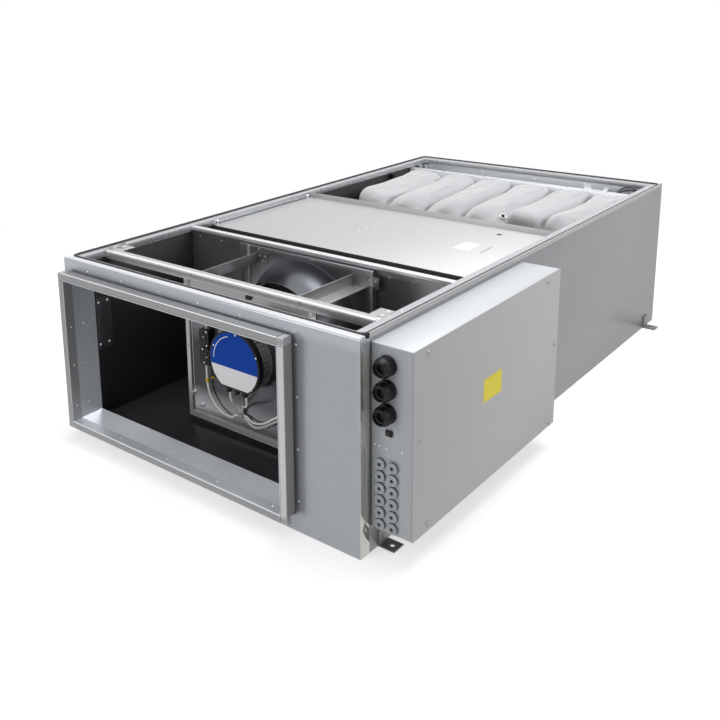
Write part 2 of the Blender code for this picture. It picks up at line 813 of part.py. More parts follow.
def wiring():
    grey = material("lead_grey", (0.75, 0.75, 0.73), 0.5, 0.0)
    black = material("gland_black", (0.02, 0.02, 0.022), 0.4, 0.0)
    tie_x = fan_x + tie_offset
    tie_z = motor_plate_bottom + tie_above_plate_bottom
    tie_rear = motor_plate_front - seam
    tie_front = tie_rear - tie_size
    tie_y = (tie_rear + tie_front) / 2
    tie_top = tie_z + tie_size / 2
    box("cable_tie",
        (tie_x - tie_half_width, tie_front, tie_z - tie_size / 2),
        (tie_x + tie_half_width, tie_rear, tie_top), black)

    lead_y = tie_rear - terminal_box_depth / 2
    left_end = tie_x - tie_half_width - seam
    drop = terminal_box_bottom - (tie_z - lead_below_tie_middle)
    tube("motor_lead_left",
         [(terminal_box_x - 0.006, lead_y, terminal_box_bottom - seam),
          (terminal_box_x - 0.006, lead_y, terminal_box_bottom - 0.18 * drop),
          (terminal_box_x - 0.005, lead_y, terminal_box_bottom - 0.37 * drop),
          (terminal_box_x - 0.002, lead_y, terminal_box_bottom - 0.57 * drop),
          (terminal_box_x + 0.007, lead_y + 0.001, terminal_box_bottom - 0.77 * drop),
          (terminal_box_x + 0.028, lead_y + 0.002, terminal_box_bottom - 0.96 * drop),
          (terminal_box_x + 0.052, lead_y + 0.003, terminal_box_bottom - 1.06 * drop),
          (terminal_box_x + 0.076, tie_y - 0.001, tie_z - 0.012),
          (left_end - 0.010, tie_y, tie_z - lead_below_tie_middle),
          (left_end, tie_y, tie_z - lead_below_tie_middle)],
         lead_radius, grey)
    gland_bottom = electronics_bottom - motor_gland_length - seam
    lead_top = tie_top + seam
    tube("motor_lead_middle",
         [(fan_x - motor_gland_pitch, motor_gland_y, gland_bottom),
          (fan_x - motor_gland_pitch, motor_gland_y, gland_bottom - 0.014),
          (fan_x - motor_gland_pitch, motor_gland_y + 0.006, gland_bottom - 0.032),
          (tie_x - 0.005, tie_y - 0.012, lead_top + 0.028),
          (tie_x - lead_left_of_tie_middle, tie_y, lead_top + 0.010),
          (tie_x - lead_left_of_tie_middle, tie_y, lead_top)],
         lead_radius, grey)
    tube("motor_lead_right",
         [(fan_x + motor_gland_pitch, motor_gland_y, gland_bottom),
          (fan_x + motor_gland_pitch, motor_gland_y, gland_bottom - 0.014),
          (fan_x + motor_gland_pitch - 0.007, motor_gland_y + 0.006, gland_bottom - 0.032),
          (tie_x + 0.018, tie_y - 0.012, lead_top + 0.030),
          (tie_x + lead_right_of_tie_middle, tie_y, lead_top + 0.010),
          (tie_x + lead_right_of_tie_middle, tie_y, lead_top)],
         lead_radius, grey)

    gland_inner = inner_x - wall_gland_length
    right_end = tie_x + tie_half_width + seam
    span = gland_inner - right_end
    main_z = tie_z - main_cable_below_tie_middle
    main_end_z = wall_gland_z - main_cable_below_gland_middle
    tube("motor_cable",
         [(right_end, tie_y, main_z),
          (right_end + 0.010, tie_y, main_z),
          (right_end + 0.022, tie_y - 0.001, main_z - 0.009),
          (right_end + 0.039, tie_y - 0.002, main_z - 0.013),
          (right_end + 0.058, tie_y - 0.003, main_z - 0.008),
          (right_end + 0.079, tie_y - 0.004, main_z + 0.003),
          (right_end + 0.102, tie_y - 0.005, main_z + 0.018),
          (right_end + 0.32 * span, tie_y - 0.006, main_z + 0.048),
          (right_end + 0.45 * span, tie_y - 0.006, main_z + 0.084),
          (right_end + 0.61 * span, tie_y - 0.004, main_z + 0.122),
          (right_end + 0.77 * span, wall_gland_y - 0.006, main_end_z - 0.044),
          (gland_inner - 0.040, wall_gland_y, main_end_z - 0.012),
          (gland_inner - 0.014, wall_gland_y, main_end_z),
          (gland_inner - seam, wall_gland_y, main_end_z)],
         main_cable_radius, grey)
    signal_z = tie_z + signal_cable_above_tie_middle
    signal_end_z = wall_gland_z + signal_cable_above_gland_middle
    tube("motor_cable_signal",
         [(right_end, tie_y, signal_z),
          (right_end + 0.010, tie_y, signal_z),
          (right_end + 0.024, tie_y - 0.002, signal_z - 0.006),
          (right_end + 0.041, tie_y - 0.003, signal_z - 0.008),
          (right_end + 0.060, tie_y - 0.004, signal_z - 0.004),
          (right_end + 0.080, tie_y - 0.005, signal_z + 0.006),
          (right_end + 0.102, tie_y - 0.006, signal_z + 0.021),
          (right_end + 0.32 * span, tie_y - 0.008, signal_z + 0.052),
          (right_end + 0.45 * span, tie_y - 0.008, signal_z + 0.089),
          (right_end + 0.61 * span, tie_y - 0.006, signal_z + 0.127),
          (right_end + 0.77 * span, wall_gland_y - 0.006, signal_end_z - 0.041),
          (gland_inner - 0.040, wall_gland_y, signal_end_z - 0.010),
          (gland_inner - 0.014, wall_gland_y, signal_end_z),
          (gland_inner - seam, wall_gland_y, signal_end_z)],
         lead_radius, grey)
    prism("cable_wall_gland", circle(wall_gland_radius, small_round_segments, (wall_gland_y, wall_gland_z)),
          0, gland_inner, half_width - sheet, black)


def section_cover():
    zinc = material("cover_zinc", (0.78, 0.79, 0.80), 0.35, 0.7)
    top = rim_z - cover_below_rim
    bottom = top - cover_sheet
    reach = inner_x - lip_sheet - cover_gap
    profile = [
        (cover_front, top - cover_front_fold),
        (cover_front + cover_sheet, top - cover_front_fold),
        (cover_front + cover_sheet, bottom),
        (cover_rear, bottom),
        (cover_rear, top + cover_rear_fold),
        (cover_rear - cover_sheet, top + cover_rear_fold),
        (cover_rear - cover_sheet, top),
        (cover_front, top),
    ]
    prism("section_cover", profile, 0, -reach, reach, zinc)
    rail_top = bottom - seam
    for side, name in ((-1, "cover_rail_left"), (1, "cover_rail_right")):
        outer = side * (inner_x - seam)
        section = [
            (outer, rail_top),
            (outer, rail_top - cover_rail_height),
            (outer - side * sheet, rail_top - cover_rail_height),
            (outer - side * sheet, rail_top - sheet),
            (outer - side * cover_rail_width, rail_top - sheet),
            (outer - side * cover_rail_width, rail_top),
        ]
        low = cover_front + cover_sheet + seam
        prism(name, section, 1, low, cover_rear, zinc)


def filters():
    metal = material("filter_frame_zinc", (0.68, 0.69, 0.70), 0.4, 0.7)
    fleece = material("filter_fleece", (0.86, 0.87, 0.88), 0.9, 0.0)
    reach = inner_x - filter_frame_gap
    bottom = floor_thickness + seam
    outer = [(-reach, bottom), (reach, bottom), (reach, filter_top), (-reach, filter_top)]
    border = filter_frame_border
    inner = [(-reach + border, bottom + border), (reach - border, bottom + border),
             (reach - border, filter_top - border), (-reach + border, filter_top - border)]
    ring_prism("filter_frame", outer, inner, 1, filter_frame_front, filter_frame_rear, metal)

    pitch = 2 * reach / pocket_count
    half_pocket = (pitch - pocket_gap) / 2
    rear = filter_frame_front - seam
    stations = (
        (rear, half_pocket, 0.0, 0.0, 0.0),
        (rear - pocket_straight, half_pocket, 0.0, 0.0, 0.0),
        (rear - pocket_shoulder, half_pocket - pocket_shoulder_inset, pocket_shoulder_lean,
         pocket_shoulder_drop, 0.0),
        (rear - pocket_length, pocket_tip_width / 2, pocket_tip_lean, pocket_tip_drop, pocket_tip_rise),
    )
    for index in range(pocket_count):
        middle = -reach + pitch * (index + 0.5)
        shape = bmesh.new()
        loops = []
        for along, half, lean, drop, rise in stations:
            left = middle - lean - half
            right = middle - lean + half
            low = bottom + rise
            high = filter_top - drop
            loops.append([shape.verts.new((left, along, low)),
                          shape.verts.new((right, along, low)),
                          shape.verts.new((right, along, high)),
                          shape.verts.new((left, along, high))])
        shape.faces.new(loops[0])
        shape.faces.new(list(reversed(loops[-1])))
        for first, second in zip(loops, loops[1:]):
            for corner in range(4):
                after = (corner + 1) % 4
                shape.faces.new((first[after], first[corner], second[corner], second[after]))
        add_object("filter_pocket_%d" % (index + 1), shape, fleece)


def pressure_hose():
    """Hose from the filter frame through one tilted loop to the right wall."""
    black = material("hose_black", (0.02, 0.02, 0.022), 0.4, 0.0)
    tap_x = inner_x - hose_from_wall
    centre = Vector((tap_x + hose_loop_radius, (filter_frame_rear + inner_rear) / 2, rim_z - hose_below_rim))
    back = Vector((0.0, math.cos(hose_loop_tilt), math.sin(hose_loop_tilt)))
    tap_z = centre.z - hose_tap_drop
    points = [(tap_x, filter_frame_rear + seam, tap_z),
              (tap_x, filter_frame_rear + hose_lead, tap_z)]
    for degrees in range(0, 451, hose_loop_step):
        angle = math.pi - math.radians(degrees)
        across = Vector((math.cos(angle), 0.0, 0.0))
        place = centre + hose_loop_radius * (across + math.sin(angle) * back)
        place.z -= hose_pass_spacing * degrees / 360
        points.append(place)
    points.append((inner_x - seam - hose_lead, place.y, place.z))
    points.append((inner_x - seam, place.y, place.z))
    tube("pressure_hose", points, hose_radius, black)


def control_box():
    grey = material("control_box_grey", (0.60, 0.61, 0.63), 0.45, 0.3)
    lid_grey = material("control_lid_grey", (0.55, 0.56, 0.57), 0.45, 0.3)
    low_x = half_width + seam
    lid_outer = half_width + box_width
    lid_inner = lid_outer - box_lid_sheet
    rear = box_front + box_length
    body = box("control_box", (low_x, box_front, box_bottom),
               (lid_inner - seam, rear, box_top), grey)
    bevel(body, box_edge, 1)
    box("control_box_lid",
        (lid_inner, box_front - box_lid_margin, box_bottom - box_lid_margin),
        (lid_outer, rear + box_lid_margin, box_top + box_lid_margin), lid_grey)


def cable_entries():
    black = material("gland_nylon", (0.03, 0.03, 0.032), 0.4, 0.0)
    rubber = material("grommet_rubber", (0.35, 0.37, 0.40), 0.6, 0.0)
    gland_x = half_width + gland_x_from_casing
    for index, name in enumerate(("cable_gland_top", "cable_gland_middle", "cable_gland_bottom")):
        centre = (gland_x, gland_top_z - index * gland_pitch)
        nut_front = entry_face - gland_nut_length
        tip = nut_front - gland_dome_length
        profile = [
            (0, entry_face),
            (gland_nut_radius, entry_face),
            (gland_nut_radius, nut_front),
            (gland_dome_radius, nut_front),
            (gland_dome_radius, tip + gland_crown_length),
            (gland_crown_radius, tip),
            (gland_bore_radius, tip),
            (gland_bore_radius, tip + gland_bore_depth),
            (0, tip + gland_bore_depth),
        ]
        turned(name, profile, centre, small_round_segments, black)

    first_x = half_width + grommet_first_x
    margin = grommet_radius + sheet
    plate_front = entry_face - grommet_plate_sheet
    plate = box("grommet_strip",
                (first_x - margin, plate_front, grommet_bottom_z - margin),
                (first_x + grommet_column_gap + margin, entry_face,
                 grommet_bottom_z + (grommet_rows - 1) * grommet_pitch + margin), rubber)
    tip = plate_front - grommet_height
    for column in range(2):
        for row in range(grommet_rows):
            centre = (first_x + column * grommet_column_gap, grommet_bottom_z + row * grommet_pitch)
            profile = [
                (0, plate_front + sheet / 2),
                (grommet_radius, plate_front + sheet / 2),
                (grommet_radius, tip + grommet_crown_height),
                (grommet_top_radius, tip),
                (grommet_bore_radius, tip),
                (grommet_bore_radius, tip + grommet_bore_depth),
                (0, tip + grommet_bore_depth),
            ]
            join(plate, turned("grommet", profile, centre, tiny_round_segments))

    socket_x = half_width + socket_x_from_casing
    box("service_socket",
        (socket_x - socket_width / 2, entry_face - socket_depth, socket_z - socket_height / 2),
        (socket_x + socket_width / 2, entry_face, socket_z + socket_height / 2), black)


def feet():
    dark = material("foot_zinc", (0.40, 0.40, 0.38), 0.45, 0.7)
    for y_name, y in (("front", front_y + foot_from_end), ("rear", rear_y - foot_from_end)):
        for side, x_name in ((-1, "left"), (1, "right")):
            leg = side * (half_width + seam)
            section = [
                (leg, 0.0),
                (leg + side * foot_reach, 0.0),
                (leg + side * foot_reach, foot_sheet),
                (leg + side * foot_sheet, foot_sheet),
                (leg + side * foot_sheet, foot_height),
                (leg, foot_height),
            ]
            foot = prism("foot_%s_%s" % (y_name, x_name), section, 1,
                         y - foot_width / 2, y + foot_width / 2, dark)
            hole_x = leg + side * (foot_reach - foot_hole_from_tip)
            cut(foot, prism("foot_hole", circle(foot_hole_radius, small_round_segments, (hole_x, y)), 2,
                            -overrun, foot_sheet + overrun))


def wall_plate():
    dark = material("wall_plate_zinc", (0.20, 0.21, 0.22), 0.5, 0.6)
    wall_plate_y = front_y + wall_plate_setback
    wall_plate_z = (duct_bottom + duct_top) / 2 + wall_plate_above_middle
    box("left_wall_plate",
        (-inner_x + seam, wall_plate_y - wall_plate_length / 2, wall_plate_z - wall_plate_height / 2),
        (-inner_x + seam + wall_plate_sheet, wall_plate_y + wall_plate_length / 2,
         wall_plate_z + wall_plate_height / 2), dark)


def main():
    clear_scene()
    casing()
    rim()
    duct_connection(-1, "front_collar", "front_duct_flange")
    duct_connection(1, "rear_collar", "rear_duct_flange")
    front_rail()
    fan_wall()
    impeller()
    motor_group()
    wiring()
    section_cover()
    filters()
    pressure_hose()
    control_box()
    cable_entries()
    feet()
    wall_plate()


main()
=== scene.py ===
import math

import bmesh
import bpy
from mathutils import Matrix, Vector, noise
from mathutils.bvhtree import BVHTree


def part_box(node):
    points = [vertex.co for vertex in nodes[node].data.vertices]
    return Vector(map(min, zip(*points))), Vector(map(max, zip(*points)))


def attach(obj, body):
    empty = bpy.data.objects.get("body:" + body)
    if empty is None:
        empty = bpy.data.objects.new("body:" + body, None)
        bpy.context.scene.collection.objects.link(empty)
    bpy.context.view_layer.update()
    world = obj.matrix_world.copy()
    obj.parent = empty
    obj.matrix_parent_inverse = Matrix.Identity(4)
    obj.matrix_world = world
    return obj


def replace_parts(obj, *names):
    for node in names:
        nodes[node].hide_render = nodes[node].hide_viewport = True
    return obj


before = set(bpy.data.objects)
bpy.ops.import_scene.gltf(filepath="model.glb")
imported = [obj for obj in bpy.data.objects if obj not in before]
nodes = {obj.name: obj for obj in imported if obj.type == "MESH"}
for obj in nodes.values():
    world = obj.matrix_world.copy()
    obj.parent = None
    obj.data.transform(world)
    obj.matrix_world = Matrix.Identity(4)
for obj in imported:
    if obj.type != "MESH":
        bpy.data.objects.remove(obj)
bpy.context.view_layer.update()
scene = bpy.context.scene
view_layer = bpy.context.view_layer

# Camera, at the photograph's viewing angle

photo_width = 720
focal_pixels = 908.9022
sensor = 36.0

camera_data = bpy.data.cameras.new("camera")
camera_data.sensor_width = sensor
camera_data.lens = focal_pixels / photo_width * sensor
camera_data.shift_x = 0.0833
camera_data.shift_y = -0.2222
camera_data.clip_start = 0.05
camera_data.clip_end = 100.0
camera = bpy.data.objects.new("camera", camera_data)
scene.collection.objects.link(camera)
camera.matrix_world = (Matrix.Translation((1.4851, -2.2886, 1.1855))
                       @ Matrix.Rotation(0.69165, 4, "Z")
                       @ Matrix.Rotation(1.34239, 4, "X")
                       @ Matrix.Rotation(-0.01766, 4, "Z"))
scene.camera = camera

# Shader helpers

sharp_angle = math.radians(35)


def surface(name, colour, roughness, metallic=0.0, **constants):
    """A material, its shader with the constants on its own sockets, and the object's coordinates."""
    finish = bpy.data.materials.new(name)
    finish.use_nodes = True
    shader = finish.node_tree.nodes["Principled BSDF"]
    shader.inputs["Base Color"].default_value = (*colour, 1.0)
    shader.inputs["Roughness"].default_value = roughness
    shader.inputs["Metallic"].default_value = metallic
    for socket, value in constants.items():
        shader.inputs[socket.replace("_", " ")].default_value = value
    finish.diffuse_color = (*colour, 1.0)
    return finish, shader, object_place(shader)


def feed(node, name, value):
    """Sets a node's input to a number, a colour or another node's output."""
    socket = node.inputs[name]
    if isinstance(value, bpy.types.NodeSocket):
        node.id_data.links.new(value, socket)
    elif isinstance(value, tuple) and socket.type == "RGBA":
        socket.default_value = (*value[:3], 1.0)
    else:
        socket.default_value = value


def put(near, kind, **inputs):
    """A new node in the tree of another node or output."""
    made = near.id_data.nodes.new(kind)
    for key, value in inputs.items():
        feed(made, key.replace("_", " "), value)
    return made


def maths(operation, *values, clamp=False):
    near = next(value for value in values if isinstance(value, bpy.types.NodeSocket))
    made = put(near, "ShaderNodeMath")
    made.operation = operation
    made.use_clamp = clamp
    for index, value in enumerate(values):
        feed(made, index, value)
    return made.outputs[0]


def add(first, second, clamp=False):
    return maths("ADD", first, second, clamp=clamp)


def times(first, second):
    return maths("MULTIPLY", first, second)


def from_zero(first, second):
    """How far a point with two coordinates is from zero."""
    return maths("SQRT", add(times(first, first), times(second, second)))


def mix_colours(factor, first, second):
    made = put(factor, "ShaderNodeMix")
    made.data_type = "RGBA"
    for index, value in ((0, factor), (6, first), (7, second)):
        feed(made, index, value)
    return made.outputs[2]


def object_place(near):
    return put(near, "ShaderNodeTexCoord").outputs["Object"]


def axes_of(place):
    return put(place, "ShaderNodeSeparateXYZ", Vector=place).outputs[:3]


def grain(place, scale, detail=3.0, stretch=None, distortion=0.0):
    """Noise between 0 and 1, stretched along an axis where stretch says so."""
    if stretch is not None:
        place = put(place, "ShaderNodeMapping", Vector=place, Scale=stretch).outputs[0]
    return put(place, "ShaderNodeTexNoise", Vector=place, Scale=scale, Detail=detail,
               Distortion=distortion).outputs[0]


def crystals(place, scale):
    """Flat cells with a random grey each, like the crystals of hot dip zinc."""
    cells = put(place, "ShaderNodeTexVoronoi", Vector=place, Scale=scale)
    return put(place, "ShaderNodeSeparateColor", Color=cells.outputs["Color"]).outputs[0]


def between(value, low, high, soft=0.001):
    """1 where low < value < high, else 0, with a soft edge."""
    rise = put(value, "ShaderNodeMapRange", Value=value, From_Min=low - soft, From_Max=low + soft)
    fall = put(value, "ShaderNodeMapRange", Value=value, From_Min=high + soft, From_Max=high - soft)
    return times(rise.outputs[0], fall.outputs[0])


def shade_of(colour, factor):
    return tuple(min(1.0, channel * factor) for channel in colour)


def tone_of(*parts):
    """One value about 0.5 from several values between 0 and 1, each with its weight."""
    weighted = [times(maths("SUBTRACT", value, 0.5), weight) for value, weight in parts]
    total = weighted[0]
    for value in weighted[1:]:
        total = add(total, value)
    return add(total, 0.5, clamp=True)


def tint(shader, tone, colour, dark, light):
    """Base colour that runs from a darker to a lighter shade with the tone."""
    shown = mix_colours(tone, shade_of(colour, dark), shade_of(colour, light))
    feed(shader, "Base Color", shown)
    return shown


def gloss(shader, tone, swing, roughness):
    """Roughness that swings about its middle with the tone."""
    rough = maths("MULTIPLY_ADD", tone, swing, roughness - swing / 2)
    feed(shader, "Roughness", rough)
    return rough


def bump(shader, strength, distance, height, under=None):
    made = put(shader, "ShaderNodeBump", Strength=strength, Distance=distance, Height=height)
    if under is not None:
        feed(made, "Normal", under)
    feed(shader, "Normal", made.outputs[0])
    return made.outputs[0]


def sheet_metal(name, colour, roughness, metallic, spangle=0.1, cloud=0.35, wave=0.06, lining=None):
    """Galvanised sheet: zinc crystals, rolling streaks, slow tone changes and slight waves.

    lining is the colour of the faces that line the casing.
    """
    finish, shader, place = surface(name, colour, roughness, metallic, Specular_IOR_Level=0.3)
    streaks = grain(place, 9.0, 5.0, (3.0, 3.0, 60.0))
    tone = tone_of((crystals(place, 85.0), spangle), (grain(place, 4.0, 4.0), cloud),
                   (streaks, 0.7 * cloud))
    shown = tint(shader, tone, colour, 0.84, 1.14)
    rough = gloss(shader, tone, 0.14, roughness)
    if lining is not None:
        x, y, z = axes_of(place)
        level = times(between(x, -lining_x, lining_x), between(y, -lining_y, lining_y))
        within = times(level, between(z, lining_bottom, lining_top))
        fleck = grain(place, 220.0, 2.0)
        dark = mix_colours(fleck, shade_of(lining, 0.7), shade_of(lining, 1.3))
        feed(shader, "Base Color", mix_colours(within, shown, dark))
        feed(shader, "Roughness", maths("MULTIPLY_ADD", within, 0.12, rough))
        feed(shader, "Metallic", times(maths("SUBTRACT", 1.0, within), metallic))
    slow = bump(shader, wave, 0.004, grain(place, 3.5, 1.0))
    bump(shader, 0.05, 0.0001, grain(place, 700.0, 3.0), slow)
    return finish


def spun_metal(name, colour, roughness, metallic, groove=900.0):
    """Sheet spun or turned about the fan's axis, with fine rings in it."""
    finish, shader, place = surface(name, colour, roughness, metallic)
    x, y, z = axes_of(place)
    radius = from_zero(maths("SUBTRACT", x, fan_x), maths("SUBTRACT", z, fan_z))
    rings = put(place, "ShaderNodeTexNoise", Scale=groove, Detail=3.0)
    rings.noise_dimensions = "1D"
    feed(rings, "W", add(radius, times(y, 0.35)))
    tone = tone_of((rings.outputs[0], 0.5), (grain(place, 6.0, 4.0), 0.6))
    tint(shader, tone, colour, 0.8, 1.18)
    gloss(shader, tone, 0.14, roughness)
    bump(shader, 0.08, 0.0003, rings.outputs[0])
    return finish


def painted(name, colour, roughness, metallic=0.0, peel=420.0):
    """Baked paint with a fine orange peel and a slight change of tone."""
    finish, shader, place = surface(name, colour, roughness, metallic)
    tone = tone_of((grain(place, 3.0, 4.0), 0.8), (grain(place, 60.0, 3.0), 0.25))
    tint(shader, tone, colour, 0.93, 1.06)
    gloss(shader, tone, 0.08, roughness)
    slow = bump(shader, 0.06, 0.003, grain(place, 4.0, 1.0))
    bump(shader, 0.1, 0.0003, grain(place, peel, 2.0), slow)
    return finish


def moulded(name, colour, roughness, coarse=650.0, dust=0.25):
    """Moulded plastic or rubber: fine eroded grain with light dust in the hollows."""
    finish, shader, place = surface(name, colour, roughness)
    cloud = grain(place, 25.0, 4.0)
    tint(shader, maths("MULTIPLY", cloud, dust, clamp=True), colour, 1.0, 2.2)
    gloss(shader, cloud, 0.16, roughness)
    bump(shader, 0.18, 0.0003, grain(place, coarse, 3.0))
    return finish


def fleece_cloth(name, colour):
    """Needled white fleece: matted fibres, thin and thick places and a soft sheen."""
    finish, shader, place = surface(name, colour, 0.95, Sheen_Weight=0.25, Sheen_Roughness=0.6,
                                    Subsurface_Weight=0.7, Subsurface_Scale=0.03,
                                    Specular_IOR_Level=0.2, Subsurface_Radius=(1.0, 1.0, 1.0))
    felt = grain(place, 45.0, 6.0, distortion=1.2)
    threads = grain(place, 260.0, 5.0, (1.0, 3.0, 1.0), 2.5)
    tint(shader, tone_of((felt, 0.3), (threads, 0.35)), colour, 0.92, 1.06)
    soft = bump(shader, 0.12, 0.002, felt)
    bump(shader, 0.25, 0.0006, threads, soft)
    return finish


def shade_where(finish, axis, low, high, colour, soft=0.0006, roughness=None):
    """Another tone, and another gloss if told, between two places along an axis."""
    shader = finish.node_tree.nodes["Principled BSDF"]
    base = shader.inputs["Base Color"].links[0].from_socket
    inside = between(axes_of(object_place(shader))[axis], low, high, soft)
    feed(shader, "Base Color", mix_colours(inside, base, colour))
    if roughness is not None:
        before = shader.inputs["Roughness"].links[0].from_socket
        feed(shader, "Roughness", add(before, times(inside, maths("SUBTRACT", roughness, before))))


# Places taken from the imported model

right_low, right_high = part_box("right_wall")
left_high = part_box("left_wall")[1]
front_low, front_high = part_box("front_wall")
rear_low, rear_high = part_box("rear_wall")
floor_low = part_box("floor_panel")[0]
housing_low, housing_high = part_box("motor_housing")
plate_low, plate_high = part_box("motor_plate")
box_low, box_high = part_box("control_box")
lid_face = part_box("control_box_lid")[1].x
impeller_low, impeller_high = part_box("impeller")
fan_x = (impeller_low.x + impeller_high.x) / 2
fan_z = (impeller_low.z + impeller_high.z) / 2
fan_centre = (fan_x, fan_z)

lining_margin = 0.004
lining_x = right_low.x + lining_margin
lining_y = lining_margin - front_high.y
lining_bottom = floor_low.z + 0.002
lining_top = left_high.z - 0.0015

# Finishes

lining_dark = (0.012, 0.012, 0.013)
casing_zinc = sheet_metal("casing_zinc_sheet", (0.41, 0.425, 0.455), 0.3, 0.55, lining=lining_dark)
# The front wall's own copy of the casing finish, which carries painted light on its side strip and its top
# band.
front_zinc = sheet_metal("front_zinc_sheet", (0.41, 0.425, 0.455), 0.3, 0.55, lining=lining_dark)
skin_zinc = sheet_metal("skin_zinc_sheet", (0.5, 0.5, 0.495), 0.34, 0.5)
side_zinc = sheet_metal("side_zinc_sheet", (0.325, 0.33, 0.345), 0.38, 0.4, lining=lining_dark)
rear_zinc = sheet_metal("rear_wall_zinc", (0.62, 0.64, 0.67), 0.32, 0.5)
floor_dark = sheet_metal("floor_lining", (0.03, 0.031, 0.034), 0.26, 0.2)
rim_bright = sheet_metal("rim_bright_zinc", (0.76, 0.77, 0.79), 0.3, 0.55, spangle=0.08)
rail_zinc = sheet_metal("rail_zinc_sheet", (0.5, 0.5, 0.5), 0.34, 0.5)
lip_zinc = sheet_metal("rim_lip_zinc", (0.53, 0.54, 0.56), 0.28, 0.6, spangle=0.08)
# Painted highlight for the cross rail's front edge.
rail_edge_highlight = sheet_metal("rail_edge_painted_highlight", (0.92, 0.93, 0.94), 0.3, 0.3)
duct_zinc = sheet_metal("duct_zinc_sheet", (0.32, 0.325, 0.33), 0.3, 0.65)
# Painted highlight: near white zinc for the upward faces of the duct frame bends near its face.
duct_bend_highlight = sheet_metal("duct_bend_painted_highlight", (0.97, 0.98, 0.99), 0.36, 0.2)
# Painted light: a lighter copy of the duct frame zinc for the right bar.
duct_right_bar_lit = sheet_metal("duct_right_bar_painted_light", (0.66, 0.67, 0.68), 0.32, 0.35)
# Painted shade: darker olive zinc for the duct frame faces turned to the right.
duct_right_facing_shade = sheet_metal("duct_right_facing_painted_shade", (0.33, 0.34, 0.31), 0.34, 0.5)
collar_zinc = sheet_metal("collar_zinc_sheet", (0.66, 0.69, 0.73), 0.3, 0.5, spangle=0.16)
duct_shade = sheet_metal("duct_leg_zinc", (0.42, 0.425, 0.43), 0.36, 0.6)
inner_zinc = sheet_metal("inner_zinc_sheet", (0.26, 0.265, 0.275), 0.3, 0.8, spangle=0.07, cloud=0.7)
arm_zinc = sheet_metal("fan_arm_sheet", (0.46, 0.46, 0.46), 0.3, 0.7, spangle=0.07, cloud=0.5)
plate_zinc = sheet_metal("motor_plate_sheet", (0.088, 0.091, 0.097), 0.22, 0.85, spangle=0.03,
                         cloud=0.9, wave=0.12)
border_zinc = sheet_metal("plate_border_sheet", (0.6, 0.6, 0.59), 0.32, 0.55)
dark_zinc = sheet_metal("dark_plate_sheet", (0.055, 0.057, 0.062), 0.4, 0.4)
cover_zinc = sheet_metal("cover_zinc_sheet", (0.5, 0.505, 0.51), 0.4, 0.4, spangle=0.05, cloud=0.2)
# Painted shade: the section cover is near black in front of y = -0.3745, on its front fold.
shade_where(cover_zinc, 1, -1.0, -0.3745, (0.05, 0.05, 0.05))
# Painted light: the collar zinc is lighter and bluer below z = 0.0505, on the collar's bottom and the
# bottom duct leg.
shade_where(collar_zinc, 2, -1.0, 0.0505, (0.88, 0.91, 0.95))
# Painted light: the front wall's side face beside the control box is coloured lighter and warmer than its
# front; it is glossier too.
shade_where(front_zinc, 0, right_high.x - 0.0012, 1.0, (0.6, 0.61, 0.56), roughness=0.1)
# Painted reflections on the motor plate: darker over its left part, lighter along its bottom and along its
# top.
shade_where(plate_zinc, 0, -1.0, plate_low.x + 0.15, (0.052, 0.054, 0.058), 0.09)
shade_where(plate_zinc, 2, -1.0, plate_low.z + 0.052, (0.46, 0.465, 0.47), 0.045)
shade_where(plate_zinc, 2, plate_high.z - 0.13, 1.0, (0.32, 0.325, 0.335), 0.07)
# Painted highlight: a lighter band along the top of the front wall.
shade_where(front_zinc, 2, front_high.z - 0.028, 1.0, (0.5, 0.525, 0.565), 0.01)
foot_zinc = sheet_metal("foot_zinc_sheet", (0.24, 0.24, 0.22), 0.42, 0.7, spangle=0.3)
bolt_zinc = sheet_metal("bolt_zinc", (0.8, 0.81, 0.82), 0.25, 0.75)
lid_bolt = sheet_metal("lid_bolt_zinc", (0.38, 0.38, 0.38), 0.3, 0.8)
tie_grey = moulded("tie_grey_plastic", (0.34, 0.35, 0.36), 0.4, 500.0, 0.1)
corner_zinc = sheet_metal("corner_zinc_sheet", (0.5, 0.505, 0.51), 0.28, 0.6)
dull_bolt = sheet_metal("dull_bolt_zinc", (0.34, 0.34, 0.34), 0.35, 0.8)
nozzle_steel = spun_metal("nozzle_spun_steel", (0.2, 0.21, 0.23), 0.3, 0.85)
rotor_steel = spun_metal("rotor_turned_steel", (0.3, 0.31, 0.33), 0.3, 0.9)
impeller_black = spun_metal("impeller_painted_sheet", (0.035, 0.036, 0.04), 0.35, 0.3, 500.0)
fin_alloy = sheet_metal("fin_alloy", (0.38, 0.385, 0.39), 0.38, 0.7)
box_paint = painted("box_paint_front", (0.475, 0.495, 0.525), 0.42, 0.15)
# Painted light: the control box's top is coloured lighter than its front.
shade_where(box_paint, 2, box_high.z - 0.0015, 1.0, (0.59, 0.61, 0.645))
lid_paint = painted("lid_paint_side", (0.5, 0.5, 0.5), 0.42, 0.15)
gasket = moulded("gasket_foam_rubber", (0.01, 0.011, 0.014), 0.6, 900.0, 0.3)
black_plastic = moulded("black_plastic_moulded", (0.008, 0.008, 0.009), 0.27, 650.0, 0.12)
# Dark rubber for the gland seals, the box seal and the socket face, and painted shade in the grommet bores
# and the cover's hole and slot.
dark_rubber_and_hole_shade = moulded("dark_rubber_and_painted_hole_shade", (0.006, 0.006, 0.006), 0.6)
